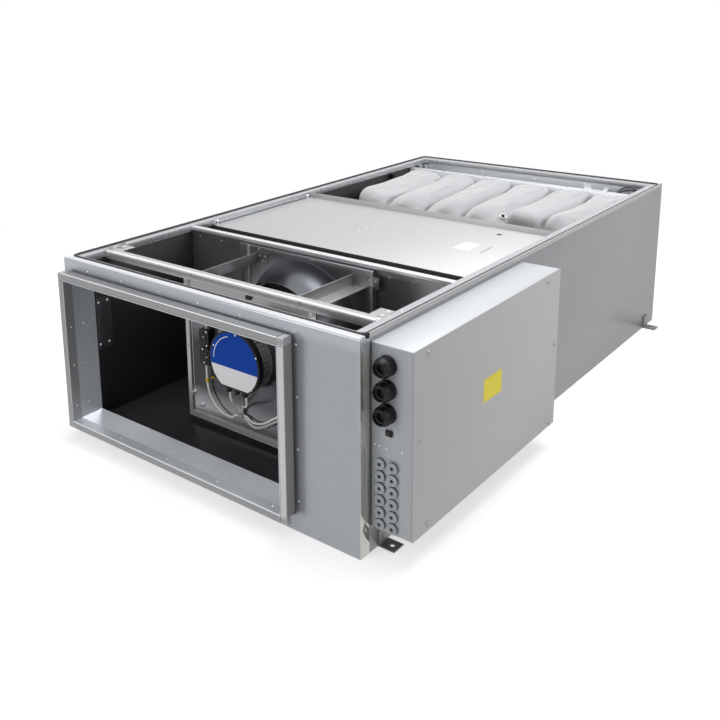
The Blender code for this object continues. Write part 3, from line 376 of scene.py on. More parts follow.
# Painted shade: the dark collar ring round each grommet face stands for the shadow at its side.
grommet_shade = moulded("grommet_collar_painted_shade", (0.085, 0.09, 0.1), 0.5, 500.0, 0.2)
grommet_grey = moulded("grommet_grey_rubber", (0.4, 0.43, 0.46), 0.5, 500.0, 0.2)
lead_white = moulded("lead_white_sheath", (0.92, 0.92, 0.9), 0.38, 500.0, 0.05)
lead_clear = moulded("lead_grey_sheath", (0.55, 0.57, 0.59), 0.3, 500.0, 0.05)
hose_black = moulded("hose_black_rubber", (0.014, 0.014, 0.015), 0.35)
yellow_plastic = moulded("yellow_plastic", (0.8, 0.48, 0.02), 0.4, 500.0, 0.05)
white_plastic = moulded("white_plastic", (0.82, 0.82, 0.8), 0.4, 500.0, 0.05)
paper_white = painted("paper_label", (0.92, 0.92, 0.93), 0.6)
sticker_yellow = painted("sticker_yellow", (0.92, 0.76, 0.01), 0.45)
fleece = fleece_cloth("filter_fleece_cloth", (0.51, 0.515, 0.53))


def weld_and_shade():
    """A node group that drops custom normals and shades smooth, keeping edges past the sharp angle sharp.
    """
    group = bpy.data.node_groups.new("weld_and_shade", "GeometryNodeTree")
    group.interface.new_socket("Geometry", in_out="INPUT", socket_type="NodeSocketGeometry")
    group.interface.new_socket("Geometry", in_out="OUTPUT", socket_type="NodeSocketGeometry")
    start = group.nodes.new("NodeGroupInput")
    end = group.nodes.new("NodeGroupOutput")
    smooth = group.nodes.new("GeometryNodeSetShadeSmooth")
    angle = group.nodes.new("GeometryNodeInputMeshEdgeAngle")
    compare = group.nodes.new("FunctionNodeCompare")
    compare.operation = "GREATER_THAN"
    compare.inputs[1].default_value = sharp_angle
    normals = group.nodes.new("GeometryNodeSetMeshNormal")
    normals.inputs["Remove Custom"].default_value = True
    for output, entry in ((start.outputs[0], smooth.inputs["Geometry"]),
                          (smooth.outputs[0], normals.inputs["Mesh"]),
                          (angle.outputs[0], compare.inputs[0]),
                          (compare.outputs[0], normals.inputs["Edge Sharpness"]),
                          (normals.outputs[0], end.inputs[0])):
        group.links.new(output, entry)
    return group


shading = weld_and_shade()
weld_distance = 0.00002


def dress(name, finish, edge=0.0):
    """Gives a CAD node its finish, welds its corners and rounds its edges."""
    obj = nodes[name]
    for material_slot in obj.material_slots:
        material_slot.material = finish
    weld = obj.modifiers.new("weld", "WELD")
    weld.merge_threshold = weld_distance
    if edge:
        rounding = obj.modifiers.new("rounding", "BEVEL")
        rounding.width = edge
        rounding.segments = 2
        rounding.limit_method = "ANGLE"
        rounding.angle_limit = sharp_angle
    modifier = obj.modifiers.new("shading", "NODES")
    modifier.node_group = shading


# Mesh helpers

forward = (0.0, -1.0, 0.0)
rearward = (0.0, 1.0, 0.0)
to_right = (1.0, 0.0, 0.0)
to_left = (-1.0, 0.0, 0.0)
upward = (0.0, 0.0, 1.0)


def on_front(u, v, w):
    """Outline across and up, depth along Y."""
    return Vector((u, w, v))


def on_side(u, v, w):
    """Outline along Y and up, depth along X."""
    return Vector((w, u, v))


def on_top(u, v, w):
    """Outline across and along, height up."""
    return Vector((u, v, w))


def piece(name, bm, finish, edge=0.0, angle=sharp_angle):
    """Turns a bmesh into a visible object that rides on the casing."""
    if edge:
        sharp = [e for e in bm.edges if len(e.link_faces) == 2 and e.calc_face_angle(0.0) > angle]
        bmesh.ops.bevel(bm, geom=sharp, offset=edge, segments=2, profile=0.6, affect="EDGES",
                        clamp_overlap=True)
    bmesh.ops.recalc_face_normals(bm, faces=bm.faces)
    mesh = bpy.data.meshes.new(name)
    bm.to_mesh(mesh)
    bm.free()
    for each in finish if isinstance(finish, list) else [finish]:
        mesh.materials.append(each)
    mesh.shade_smooth()
    mesh.set_sharp_from_angle(angle=angle)
    obj = bpy.data.objects.new(name, mesh)
    scene.collection.objects.link(obj)
    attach(obj, "casing")
    return obj


corner_steps = 5


def rounded(u0, v0, u1, v1, radius):
    """Outline of a rectangle with round corners, one radius or one for each corner from low left."""
    radii = radius if isinstance(radius, (list, tuple)) else [radius] * 4
    outline = []
    corners = ((u0, v0, 1, 1, 180), (u1, v0, -1, 1, 270), (u1, v1, -1, -1, 0), (u0, v1, 1, -1, 90))
    for (u, v, du, dv, first), r in zip(corners, radii):
        if r <= 0:
            outline.append((u, v))
        else:
            outline += arc((u + du * r, v + dv * r), r, first, first + 90, corner_steps)
    return outline


def arc(centre, radius, first, last, steps):
    """Points on an arc, its angles in degrees."""
    turns = [math.radians(first + (last - first) * step / steps) for step in range(steps + 1)]
    return [(centre[0] + radius * math.cos(turn), centre[1] + radius * math.sin(turn))
            for turn in turns]


def slab(bm, outline, place, start, end):
    """An outline pushed from start to end along its depth."""
    near = [bm.verts.new(place(u, v, start)) for u, v in outline]
    far = [bm.verts.new(place(u, v, end)) for u, v in outline]
    bm.faces.new(near)
    bm.faces.new(list(reversed(far)))
    count = len(outline)
    for index in range(count):
        after = (index + 1) % count
        bm.faces.new((near[index], far[index], far[after], near[after]))


def panels(name, finish, slot, edge, *rows):
    """A piece of slabs. A row holds the plane, an outline, or the sides and the corner radius of a
    rectangle, and the depths where it starts and ends.
    """
    bm = bmesh.new()
    for place, *outline, start, end in rows:
        slab(bm, outline[0] if len(outline) == 1 else rounded(*outline), place, start, end)
    return piece(name, bm, finish, edge=edge)


def tube(bm, rings):
    """Faces between rings of points that follow one another."""
    for before, after in zip(rings, rings[1:]):
        for index in range(len(before)):
            following = (index + 1) % len(before)
            bm.faces.new((before[index], before[following], after[following], after[index]))


def turned(bm, profile, matrix, segments=24, closed=False, flutes=None):
    """Radius and height pairs turned about local Z; closed joins the last pair to the first.

    flutes is a count, a depth as a share of the radius, and the heights that they run between.
    """
    rings = []
    for radius, height in profile:
        if radius <= 1e-6:
            rings.append([bm.verts.new(matrix @ Vector((0.0, 0.0, height)))])
            continue
        ring = []
        for step in range(segments):
            turn = 2 * math.pi * step / segments
            here = radius
            if flutes and flutes[2] < height < flutes[3] and step % (segments // flutes[0]) == 0:
                here *= 1 - flutes[1]
            ring.append(bm.verts.new(matrix @ Vector((here * math.cos(turn),
                                                      here * math.sin(turn), height))))
        rings.append(ring)
    if closed:
        rings.append(rings[0])
    for lower, upper in zip(rings, rings[1:]):
        if len(lower) > 1 and len(upper) > 1:
            tube(bm, (lower, upper))
            continue
        for step in range(segments):
            after = (step + 1) % segments
            if len(upper) > 1:
                bm.faces.new((lower[0], upper[after], upper[step]))
            elif len(lower) > 1:
                bm.faces.new((lower[step], lower[after], upper[0]))


def aim(location, direction, turn=0.0):
    """A matrix whose local Z points along a direction."""
    facing = Vector(direction).to_track_quat("Z", "Y").to_matrix().to_4x4()
    return Matrix.Translation(location) @ facing @ Matrix.Rotation(turn, 4, "Z")


fastener_turn = 0.7

# Each fastener is one or two profiles, each with its count of sides
fastener_shapes = {
    "rivet": [([(0.0, -0.0003), (0.0033, -0.0003), (0.0033, 0.0004), (0.0027, 0.001),
                (0.0015, 0.0014), (0.0009, 0.0013), (0.0008, 0.0007), (0.0, 0.0007)], 20)],
    "screw": [([(0.0, -0.0003), (0.0045, -0.0003), (0.0045, 0.0005), (0.0042, 0.0012),
                (0.0032, 0.0019), (0.0018, 0.0022), (0.0016, 0.002), (0.0014, 0.0009),
                (0.0, 0.0009)], 20)],
    "bolt": [([(0.0, -0.0003), (0.0085, -0.0003), (0.0085, 0.0008), (0.008, 0.0012),
               (0.0, 0.0012)], 28),
             ([(0.0, 0.0008), (0.0062, 0.0008), (0.0062, 0.0042), (0.0053, 0.005),
               (0.0, 0.005)], 6)],
    "eyelet": [([(0.0, -0.0003), (0.0066, -0.0003), (0.0066, 0.0006), (0.0058, 0.0013),
                 (0.004, 0.0014), (0.0034, 0.001), (0.0032, -0.0002), (0.0, -0.0002)], 28)],
}


def fasteners(name, kind, places, direction, finish, size=1.0):
    """A row of like rivets, screws or bolts as one piece, each turned a little further."""
    bm = bmesh.new()
    for index, location in enumerate(places):
        matrix = aim(location, direction, fastener_turn * index) @ Matrix.Scale(size, 4)
        for profile, segments in fastener_shapes[kind]:
            turned(bm, profile, matrix, segments)
    piece(name, bm, finish)


# Cords: the motor leads, the cables to the wall gland and the pressure hose

lead_radius = 0.0028
main_cable_radius = 0.0038
hose_radius = 0.003
route_steps = 12


def smooth_route(points, spacing):
    """Even points on a smooth curve through a route, whose first and last stretches stay straight."""
    knots = [Vector(point) for point in points]
    dense = []
    for index in range(1, len(knots) - 2):
        a, b, c, d = knots[index - 1:index + 3]
        for step in range(route_steps):
            t = step / route_steps
            dense.append(0.5 * (2 * b + (c - a) * t + (2 * a - 5 * b + 4 * c - d) * t ** 2
                                + (3 * b - a - 3 * c + d) * t ** 3))
    dense.append(knots[-2])
    length = sum((after - before).length for before, after in zip(dense, dense[1:]))
    count = max(2, round(length / spacing))
    result = [knots[0], dense[0]]
    travelled = 0.0
    passed = 1
    for before, after in zip(dense, dense[1:]):
        stretch = (after - before).length
        while passed < count and travelled + stretch >= length * passed / count:
            result.append(before.lerp(after, (length * passed / count - travelled) / stretch))
            passed += 1
        travelled += stretch
    result.extend((dense[-1], knots[-1]))
    return result


def cord(name, points, radius, finish):
    """A round cord along a route, in place of the CAD node of that name."""
    curve = bpy.data.curves.new(name + "_line", "CURVE")
    curve.dimensions = "3D"
    curve.bevel_depth = radius
    curve.bevel_resolution = 4
    curve.use_fill_caps = True
    route = smooth_route(points, radius * 2.0)
    spline = curve.splines.new("POLY")
    spline.points.add(len(route) - 1)
    for point, place in zip(spline.points, route):
        point.co = (*place, 1.0)
    spline.use_smooth = True
    curve.materials.append(finish)
    obj = bpy.data.objects.new(name + "_sheath", curve)
    scene.collection.objects.link(obj)
    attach(obj, "casing")
    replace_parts(obj, name)


cord("motor_lead_left",
     [(-0.153, -0.7128, 0.2197), (-0.153, -0.7128, 0.198), (-0.152, -0.7128, 0.175),
      (-0.149, -0.7128, 0.15), (-0.14, -0.7118, 0.125), (-0.119, -0.7108, 0.102),
      (-0.095, -0.7098, 0.089), (-0.071, -0.7083, 0.087), (-0.0553, -0.7073, 0.097),
      (-0.0453, -0.7073, 0.097)],
     lead_radius, lead_white)
cord("motor_lead_middle",
     [(-0.038, -0.7433, 0.1837), (-0.038, -0.7433, 0.1697), (-0.038, -0.7373, 0.1517),
      (-0.041, -0.7193, 0.1343), (-0.039, -0.7073, 0.1163), (-0.039, -0.7073, 0.1063)],
     lead_radius, lead_white)
cord("motor_lead_right",
     [(0.018, -0.7433, 0.1837), (0.018, -0.7433, 0.1697), (0.011, -0.7373, 0.1517),
      (-0.018, -0.7193, 0.1363), (-0.0315, -0.7073, 0.1163), (-0.0315, -0.7073, 0.1063)],
     lead_radius, lead_white)
cord("motor_cable",
     [(-0.0267, -0.7073, 0.096), (-0.0167, -0.7073, 0.096), (-0.0047, -0.7083, 0.087),
      (0.0123, -0.7093, 0.083), (0.0313, -0.7103, 0.088), (0.0523, -0.7113, 0.099),
      (0.0753, -0.7123, 0.114), (0.1194, -0.7133, 0.144), (0.1788, -0.7133, 0.18),
      (0.2519, -0.7113, 0.218), (0.325, -0.696, 0.251), (0.39, -0.69, 0.283),
      (0.416, -0.69, 0.295), (0.4297, -0.69, 0.295)],
     main_cable_radius, lead_clear)
cord("motor_cable_signal",
     [(-0.0267, -0.7073, 0.1035), (-0.0167, -0.7073, 0.1035), (-0.0027, -0.7093, 0.0975),
      (0.0143, -0.7103, 0.0955), (0.0333, -0.7113, 0.0995), (0.0533, -0.7123, 0.1095),
      (0.0753, -0.7133, 0.1245), (0.1194, -0.7153, 0.1555), (0.1788, -0.7153, 0.1925),
      (0.2519, -0.7133, 0.2305), (0.325, -0.696, 0.2635), (0.39, -0.69, 0.2945),
      (0.416, -0.69, 0.3045), (0.4297, -0.69, 0.3045)],
     lead_radius, lead_white)

hose_tap = (0.36, 0.7673, 0.456)
hose_centre = Vector((0.396, 0.817, 0.47))
hose_loop_radius = 0.036
hose_loop_tilt = math.radians(30)
hose_pass_spacing = 0.01
hose_lead = 0.012
hose_wall_x = 0.4517
hose_points = [hose_tap, (hose_tap[0], 0.767 + hose_lead, hose_tap[2])]
for degrees in range(0, 451, 30):
    turn = math.pi - math.radians(degrees)
    hose_points.append((
        hose_centre.x + hose_loop_radius * math.cos(turn),
        hose_centre.y + hose_loop_radius * math.sin(turn) * math.cos(hose_loop_tilt),
        hose_centre.z + hose_loop_radius * math.sin(turn) * math.sin(hose_loop_tilt)
        - hose_pass_spacing * degrees / 360))
hose_points.append((hose_wall_x - hose_lead, hose_points[-1][1], hose_points[-1][2]))
hose_points.append((hose_wall_x, hose_points[-1][1], hose_points[-1][2]))
cord("pressure_hose", hose_points, hose_radius, hose_black)

# Finishes of the CAD nodes that stay

dress("front_wall", front_zinc, 0.0008)
dress("left_wall", casing_zinc, 0.0008)
dress("right_wall", side_zinc, 0.0008)
dress("rear_wall", rear_zinc, 0.0008)
dress("floor_panel", floor_dark, 0.0006)
dress("rim_gasket", gasket, 0.0028)
dress("rim_lip", lip_zinc, 0.003)
dress("front_collar", collar_zinc, 0.0004)
dress("rear_collar", collar_zinc, 0.0004)
dress("front_cross_rail", rail_zinc, 0.0022)
dress("partition_rail", rim_bright, 0.0015)
dress("left_wall_plate", dark_zinc, 0.0005)
for name in ("fan_partition", "cover_rail_left", "cover_rail_right"):
    dress(name, inner_zinc, 0.0004)
for name in ("fan_arm_left", "fan_arm_right"):
    dress(name, arm_zinc, 0.0006)
dress("fan_plate", inner_zinc, 0.0012)
dress("motor_plate", plate_zinc, 0.0007)
dress("inlet_nozzle", nozzle_steel)
dress("impeller", impeller_black, 0.0004)
dress("motor_rotor", rotor_steel, 0.001)
dress("cable_tie", tie_grey, 0.0015)
dress("cable_wall_gland", black_plastic, 0.001)
dress("section_cover", cover_zinc, 0.0004)
dress("filter_frame", rim_bright, 0.0008)
dress("control_box", box_paint, 0.001)
dress("control_box_lid", lid_paint, 0.0005)
dress("service_socket", black_plastic, 0.0006)
for end in ("front", "rear"):
    for side in ("left", "right"):
        dress(f"foot_{end}_{side}", foot_zinc, 0.0006)

# Duct frames: four folded bars and four corner plates on each end

flange_sheet = 0.0012
flange_bend = 0.0022
flange_gap = 0.0003
leg_round = 0.01
corner_gap = 0.0008
collar_sheet = 0.0012
lining_sheet = 0.0008
lining_gap = 0.0002
corner_back = 0.0006
corner_sheet = 0.0025
corner_round = 0.0045
low_corner_leg = 0.012
bend_steps = 4
leg_steps = 6


def flange_profile(width, leg, depth):
    """Folded section: outer leg, face and inner leg, as a closed outline of (across, depth)."""
    outer = [(0.0, leg)]
    inner = [(flange_sheet, leg)]
    for path, radius in ((outer, flange_bend), (inner, flange_bend - flange_sheet)):
        for first_bend in (True, False):
            for step in range(bend_steps + 1):
                turn = math.pi / 2 * step / bend_steps
                near, far = radius * math.cos(turn), radius * math.sin(turn)
                if first_bend:
                    path.append((flange_bend - near, flange_bend - far))
                else:
                    path.append((width - flange_bend + far, flange_bend - near))
    outer.append((width, depth))
    inner.append((width - flange_sheet, depth))
    return outer + inner[::-1]


def flange_bar(bm, start, end, inward, back, width, depth, round_start, round_end):
    """One bar from start to end, its outer leg rounded off at the ends that are told."""
    along = (end - start).normalized()
    length = (end - start).length
    stations = [(0.0, 1.0), (length, 1.0)]
    shares = [step / leg_steps for step in range(leg_steps + 1)]
    curve = [(leg_round * share, math.sqrt(1 - (1 - share) ** 2)) for share in shares]
    if round_start:
        stations[0:1] = curve
    if round_end:
        stations[-1:] = [(length - distance, share) for distance, share in reversed(curve)]
    rows = []
    for distance, share in stations:
        leg = flange_bend + (depth - flange_bend) * share
        rows.append([bm.verts.new(start + along * distance + inward * w + back * d)
                     for w, d in flange_profile(width, leg, depth)])
    tube(bm, rows)
    bm.faces.new(rows[0])
    bm.faces.new(rows[-1][::-1])


def duct_frame(end, facing):
    """The folded frame, its corner plates and its corner bolts on the front or rear connection."""
    low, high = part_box(f"{end}_duct_flange")
    collar_low, collar_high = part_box(f"{end}_collar")
    width = collar_low.x - low.x - flange_gap
    depth = high.y - low.y
    face_y = low.y if facing < 0 else high.y
    back = Vector((0.0, -facing, 0.0))
    clear = width + corner_gap
    corners = [Vector((x, face_y, z)) for x, z in ((low.x, low.z), (high.x, low.z),
                                                   (high.x, high.z), (low.x, high.z))]
    # The right bar takes the lighter copy: painted light.
    for part, chosen, finish in (("bars", (0, 2, 3), duct_zinc), ("right_bar", (1,), duct_right_bar_lit)):
        bm = bmesh.new()
        for index in chosen:
            start = corners[index]
            stop = corners[(index + 1) % 4]
            along = (stop - start).normalized()
            inward = Vector((-along.z, 0.0, along.x))
            flange_bar(bm, start + along * clear, stop - along * clear, inward, back, width, depth,
                       round_start=index == 1, round_end=index == 3)
        bars = piece(f"{end}_duct_frame_{part}", bm, [finish, duct_bend_highlight, duct_right_facing_shade],
                     angle=math.radians(50))
        # Painted highlight on the upward faces near the frame's face, painted shade on the faces turned to
        # the right.
        for polygon in bars.data.polygons:
            if polygon.normal.z > 0.3 and abs(polygon.center.y - face_y) < 2 * flange_bend:
                polygon.material_index = 1
            elif polygon.normal.x > 0.7:
                polygon.material_index = 2
        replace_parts(bars, f"{end}_duct_flange")

    plates = []
    bolts = []
    plate_start = face_y - facing * corner_back
    plate_end = plate_start - facing * corner_sheet
    for outer_corner, corner in enumerate(corners):
        right = outer_corner in (1, 2)
        top = outer_corner > 1
        x0, x1 = (corner.x - width, corner.x) if right else (corner.x, corner.x + width)
        z0, z1 = (corner.z - width, corner.z) if top else (corner.z, corner.z + width)
        radii = [corner_round if place == outer_corner else 0.0 for place in range(4)]
        plates.append((on_front, x0, z0, x1, z1, radii, plate_start, plate_end))
        leg_x0 = x1 - flange_sheet if right else x0
        leg_depth = depth - corner_back - corner_sheet - 0.0005 if top else low_corner_leg
        leg_end = plate_end - facing * leg_depth
        plates.append((on_front, leg_x0, z0 + 0.001, leg_x0 + flange_sheet, z1 - 0.001, 0.0,
                       plate_end, leg_end))
        if top:
            side_x0, side_x1 = (x0, x1 - flange_sheet) if right else (x0 + flange_sheet, x1)
            plates.append((on_front, side_x0 + 0.001, z1 - flange_sheet, side_x1 - 0.001, z1, 0.0,
                           plate_end, leg_end))
        bolts.append(((x0 + x1) / 2, plate_start, (z0 + z1) / 2))
    panels(f"{end}_duct_frame_corners", corner_zinc, "duct_zinc", 0.0004, *plates)
    fasteners(f"{end}_duct_frame_bolts", "eyelet", bolts, (0.0, facing, 0.0), dull_bolt)

    inset = collar_sheet + lining_gap
    x0, x1 = collar_low.x + inset, collar_high.x - inset
    z0, z1 = collar_low.z + inset, collar_high.z - inset
    depths = (face_y - facing * 0.0006, face_y - facing * depth)
    panels(f"{end}_duct_frame_side_legs", duct_shade, "duct_zinc", 0.0,
           *[(on_front, x, z0, x + lining_sheet, z1, 0.0, *depths) for x in (x0, x1 - lining_sheet)])
    between_legs = lining_sheet + lining_gap
    panels(f"{end}_duct_frame_level_legs", collar_zinc, "duct_zinc", 0.0,
           *[(on_front, x0 + between_legs, z, x1 - between_legs, z + lining_sheet, 0.0, *depths)
             for z in (z0, z1 - lining_sheet)])
    leg_y = face_y - facing * 0.017
    collar_y = face_y - facing * 0.056
    for side, x, direction in (("left", x0, 1.0), ("right", x1, -1.0)):
        places = [(x + direction * lining_sheet, leg_y, z) for z in (0.09, 0.208, 0.317)]
        places += [(x - direction * lining_gap, collar_y, z) for z in (0.089, 0.204, 0.317, 0.42)]
        fasteners(f"{end}_collar_rivets_{side}", "rivet", places, (direction, 0.0, 0.0), bolt_zinc,
                  0.75)
    places = [(x, leg_y, z0 + lining_sheet) for x in (-0.438, -0.268, -0.094, 0.08, 0.254)]
    places += [(x, collar_y, z0 - lining_gap) for x in (-0.43, -0.274, -0.105, 0.071, 0.242)]
    fasteners(f"{end}_collar_rivets_bottom", "rivet", places, upward, bolt_zinc, 0.75)


duct_frame("front", -1)
duct_frame("rear", 1)

# Cable entries of the control box

black_plastic.node_tree.nodes["Principled BSDF"].inputs["Specular IOR Level"].default_value = 0.24


def gland_body(bm, matrix):
    """Base, fluted cap nut and open bore, along local Z, at the size of the big glands."""
    turned(bm, [(0.0, -0.0002), (0.0222, -0.0002), (0.0228, 0.0006), (0.0228, 0.0066),
                (0.022, 0.0078), (0.0, 0.0078)], matrix, 12)
    turned(bm, [(0.0, 0.0075), (0.0206, 0.0075), (0.0206, 0.0096), (0.0, 0.0096)], matrix, 48)
    turned(bm, [(0.0, 0.0094), (0.0206, 0.0094), (0.0216, 0.0106), (0.0218, 0.019),
                (0.0214, 0.0218), (0.0204, 0.0246), (0.019, 0.0272), (0.0178, 0.0298),
                (0.017, 0.0312), (0.0158, 0.0319), (0.0142, 0.0316), (0.0136, 0.0306),
                (0.0134, 0.029), (0.0134, 0.014), (0.0, 0.014)],
           matrix, 72, flutes=(24, 0.045, 0.01, 0.0225))


for name in ("cable_gland_top", "cable_gland_middle", "cable_gland_bottom"):
    low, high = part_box(name)
    facing_out = aim(((low.x + high.x) / 2, high.y, (low.z + high.z) / 2), forward, 0.35)
    bm = bmesh.new()
    gland_body(bm, facing_out)
    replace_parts(piece(name + "_cap", bm, black_plastic), name)
    bm = bmesh.new()
    turned(bm, [(0.0133, 0.024), (0.0133, 0.0262), (0.0122, 0.0268), (0.0106, 0.0258),
                (0.0102, 0.023), (0.0106, 0.017), (0.0133, 0.017)], facing_out, 40, closed=True)
    turned(bm, [(0.0, 0.016), (0.0131, 0.016), (0.0131, 0.0142), (0.0, 0.0142)], facing_out, 40)
    piece(name + "_seal", bm, dark_rubber_and_hole_shade)

strip_low, strip_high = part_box("grommet_strip")
strip_front = strip_high.y - 0.0003
grommet_bore_y = strip_front - 0.0038
grommet_columns = (0.511, 0.542)
grommet_rows = 6
grommet_pitch = 0.028
grommet_first = 0.08
strip = panels("grommet_plate", box_paint, "box_paint", 0.0003,
               (on_front, strip_low.x, strip_low.z, strip_high.x, strip_high.z, 0.003,
                strip_high.y, strip_front))
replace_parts(strip, "grommet_strip")
grommet_face = [(0.0, 0.003), (0.0122, 0.003), (0.0122, 0.0052), (0.0116, 0.006), (0.0094, 0.0062),
                (0.0084, 0.006), (0.0078, 0.005), (0.0072, 0.0052), (0.0062, 0.0064),
                (0.0048, 0.0068), (0.0041, 0.0066), (0.0038, 0.0058), (0.0037, 0.0042),
                (0.0, 0.0042)]
# The collar ring is painted shade round the grommet face.
grommet_collar = [(0.0, -0.0002), (0.013, -0.0002), (0.0126, 0.0034), (0.012, 0.004), (0.0, 0.004)]
# Painted shade: a dark disc in each grommet's bore.
grommet_bore = [(0.0, 0.0), (0.0036, 0.0), (0.0036, 0.0036), (0.0, 0.0036)]
for name, profile, y, segments, finish in (
        ("grommets", grommet_face, strip_front, 36, grommet_grey),
        ("grommet_collars", grommet_collar, strip_front, 36, grommet_shade),
        ("grommet_bores", grommet_bore, grommet_bore_y, 16, dark_rubber_and_hole_shade)):
    bm = bmesh.new()
    for column in grommet_columns:
        for row in range(grommet_rows):
            centre = (column, y, grommet_first + row * grommet_pitch)
            turned(bm, profile, aim(centre, forward), segments)
    piece(name, bm, finish)

# Motor: electronics cover, label, cooling fins, cable glands and terminal box

cover_radius = (housing_high.x - housing_low.x) / 2
cover_front_y = housing_low.y
cover_rear_y = -0.739
flat_drop = 0.072
motor_gland_pitch = 0.028
motor_gland_y = (cover_front_y + cover_rear_y) / 2
motor_gland_scale = 0.36
motor_gland_stretch = 1.215
rib_count = 64
fin_count = 40


def flattened_circle(radius, drop, steps=72):
    """A circle about the fan's axis with its bottom cut flat."""
    flat = math.degrees(math.acos(drop / radius))
    return arc(fan_centre, radius, flat - 90, 270 - flat, steps)


def spoke(share):
    """The fan's axis and, for a share of a turn, the way out and the way round."""
    turn = 2 * math.pi * share
    out = Vector((math.cos(turn), 0.0, math.sin(turn)))
    return Vector((fan_x, 0.0, fan_z)), out, Vector((-out.z, 0.0, out.x))


def outline_of(*points):
    return [(point.x, point.z) for point in points]


cover = panels("motor_electronics_cover", black_plastic, "black_plastic", 0.0007,
               (on_front, flattened_circle(cover_radius - 0.0016, flat_drop - 0.001), cover_rear_y,
                cover_front_y + 0.005),
               (on_front, flattened_circle(cover_radius, flat_drop), cover_front_y + 0.0052,
                cover_front_y + 0.0004),
               (on_front, flattened_circle(cover_radius, flat_drop), cover_rear_y,
                cover_rear_y - 0.005))
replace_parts(cover, "motor_housing")
ribs = []
for index in range(rib_count):
    axis, out, side = spoke(index / rib_count)
    if out.z * cover_radius < -flat_drop + 0.004:
        continue
    centre = axis + out * (cover_radius - 0.0018)
    side *= 0.0009
    out = out * 0.0014
    ribs.append((on_front, outline_of(centre - side - out, centre + side - out, centre + side + out,
                                      centre - side + out), cover_rear_y - 0.004, cover_front_y + 0.005))
panels("motor_cover_ribs", black_plastic, "black_plastic", 0.0002, *ribs)

fins = [(on_front, arc(fan_centre, 0.074, 0, 351, 39), cover_rear_y + 0.0004, housing_high.y)]
for index in range(fin_count):
    axis, out, side = spoke((index + 0.5) / fin_count)
    side *= 0.0011
    base = axis + out * 0.073
    tip = base + out * 0.009
    fins.append((on_front, outline_of(base - side, base + side, tip + side * 0.7, tip - side * 0.7),
                 cover_rear_y + 0.0004, housing_high.y - 0.002))
fins.append((on_front, arc(fan_centre, 0.0815, 0, 355, 71), housing_high.y - 0.0055,
             housing_high.y - 0.0003))
panels("motor_cooling_fins", fin_alloy, "rotor_steel", 0.0003, *fins)

bm = bmesh.new()
for step in (-1, 0, 1):
    base = (fan_x + step * motor_gland_pitch, motor_gland_y, housing_low.z + 0.014)
    gland_body(bm, aim(base, (0.0, 0.0, -1.0), 0.5) @ Matrix.Scale(motor_gland_scale, 4)
               @ Matrix.Scale(motor_gland_stretch, 4, upward))
piece("motor_cable_glands", bm, black_plastic)

label_radius = 0.0808
label_flat = 0.0668
label_front = cover_front_y - 0.0001
label_line_z = 0.2545
label_ring = (0.069, 0.0712)


def label_finish():
    """Blue print over a white field, with one thin white arc; the lower field is bare."""
    blue = (0.0, 0.06, 0.42)
    white = (0.92, 0.93, 0.94)
    finish, shader, place = surface("motor_label_print", blue, 0.45, Specular_IOR_Level=0.12)
    x, y, z = axes_of(place)
    radius = from_zero(maths("SUBTRACT", x, fan_x), maths("SUBTRACT", z, fan_z))
    below = between(z, -1.0, label_line_z, 0.0004)
    ring = between(radius, *label_ring, 0.0003)
    left = between(x, -1.0, fan_x - 0.018, 0.0003)
    high = between(z, fan_z + 0.001, 1.0, 0.0003)
    pale = maths("MAXIMUM", below, times(times(ring, left), high))
    cloud = grain(place, 30.0, 3.0)
    blue_tone = mix_colours(cloud, shade_of(blue, 0.92), shade_of(blue, 1.1))
    white_tone = mix_colours(cloud, shade_of(white, 0.95), shade_of(white, 1.03))
    feed(shader, "Base Color", mix_colours(pale, blue_tone, white_tone))
    bump(shader, 0.05, 0.0002, grain(place, 500.0, 2.0))
    return finish


panels("motor_label", label_finish(), "black_plastic", 0.0001,
       (on_front, flattened_circle(label_radius, label_flat), label_front + 0.0006, label_front))
fasteners("motor_cover_screws", "screw",
          [(fan_x + dx, label_front, fan_z + dz) for dx, dz in
           ((0.008, 0.077), (-0.069, 0.033), (0.076, 0.033), (-0.059, -0.041), (0.058, -0.056))],
          forward, bolt_zinc, 0.62)

block_low, block_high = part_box("motor_terminal_box")
block_middle = (block_low.z + block_high.z) / 2
blocks = []
for z0, z1 in ((block_low.z, block_middle - 0.0015), (block_middle + 0.0015, block_high.z)):
    for inset, lift, radius, start, end in ((0.001, 0.0, 0.006, block_high.y, block_low.y + 0.006),
                                            (0.0, 0.0, 0.007, block_low.y + 0.0062, block_low.y + 0.0004),
                                            (0.007, 0.01, 0.003, block_low.y + 0.0006,
                                             block_low.y - 0.0008)):
        blocks.append((on_front, block_low.x + inset, z0 + lift, block_high.x - inset, z1 - lift,
                       radius, start, end))
blocks.append((on_front, block_low.x + 0.006, block_middle - 0.004, block_high.x - 0.01,
               block_middle + 0.004, 0.001, block_high.y, block_low.y + 0.008))
terminal = panels("motor_terminal_blocks", black_plastic, "black_plastic", 0.0008, *blocks)
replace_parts(terminal, "motor_terminal_box")
block_x = (block_low.x + block_high.x) / 2
fasteners("terminal_block_screws", "screw",
          [(block_x + dx, block_low.y + 0.0003, z) for dx, z in
           ((0.009, 0.314), (-0.001, 0.2985), (0.01, 0.276), (-0.006, 0.2635), (0.008, 0.244),
            (-0.002, 0.2265))],
          forward, bolt_zinc, 0.6)

# Rim: the casing's outer sheet stands up beside the foam strip, and folds over it on the right

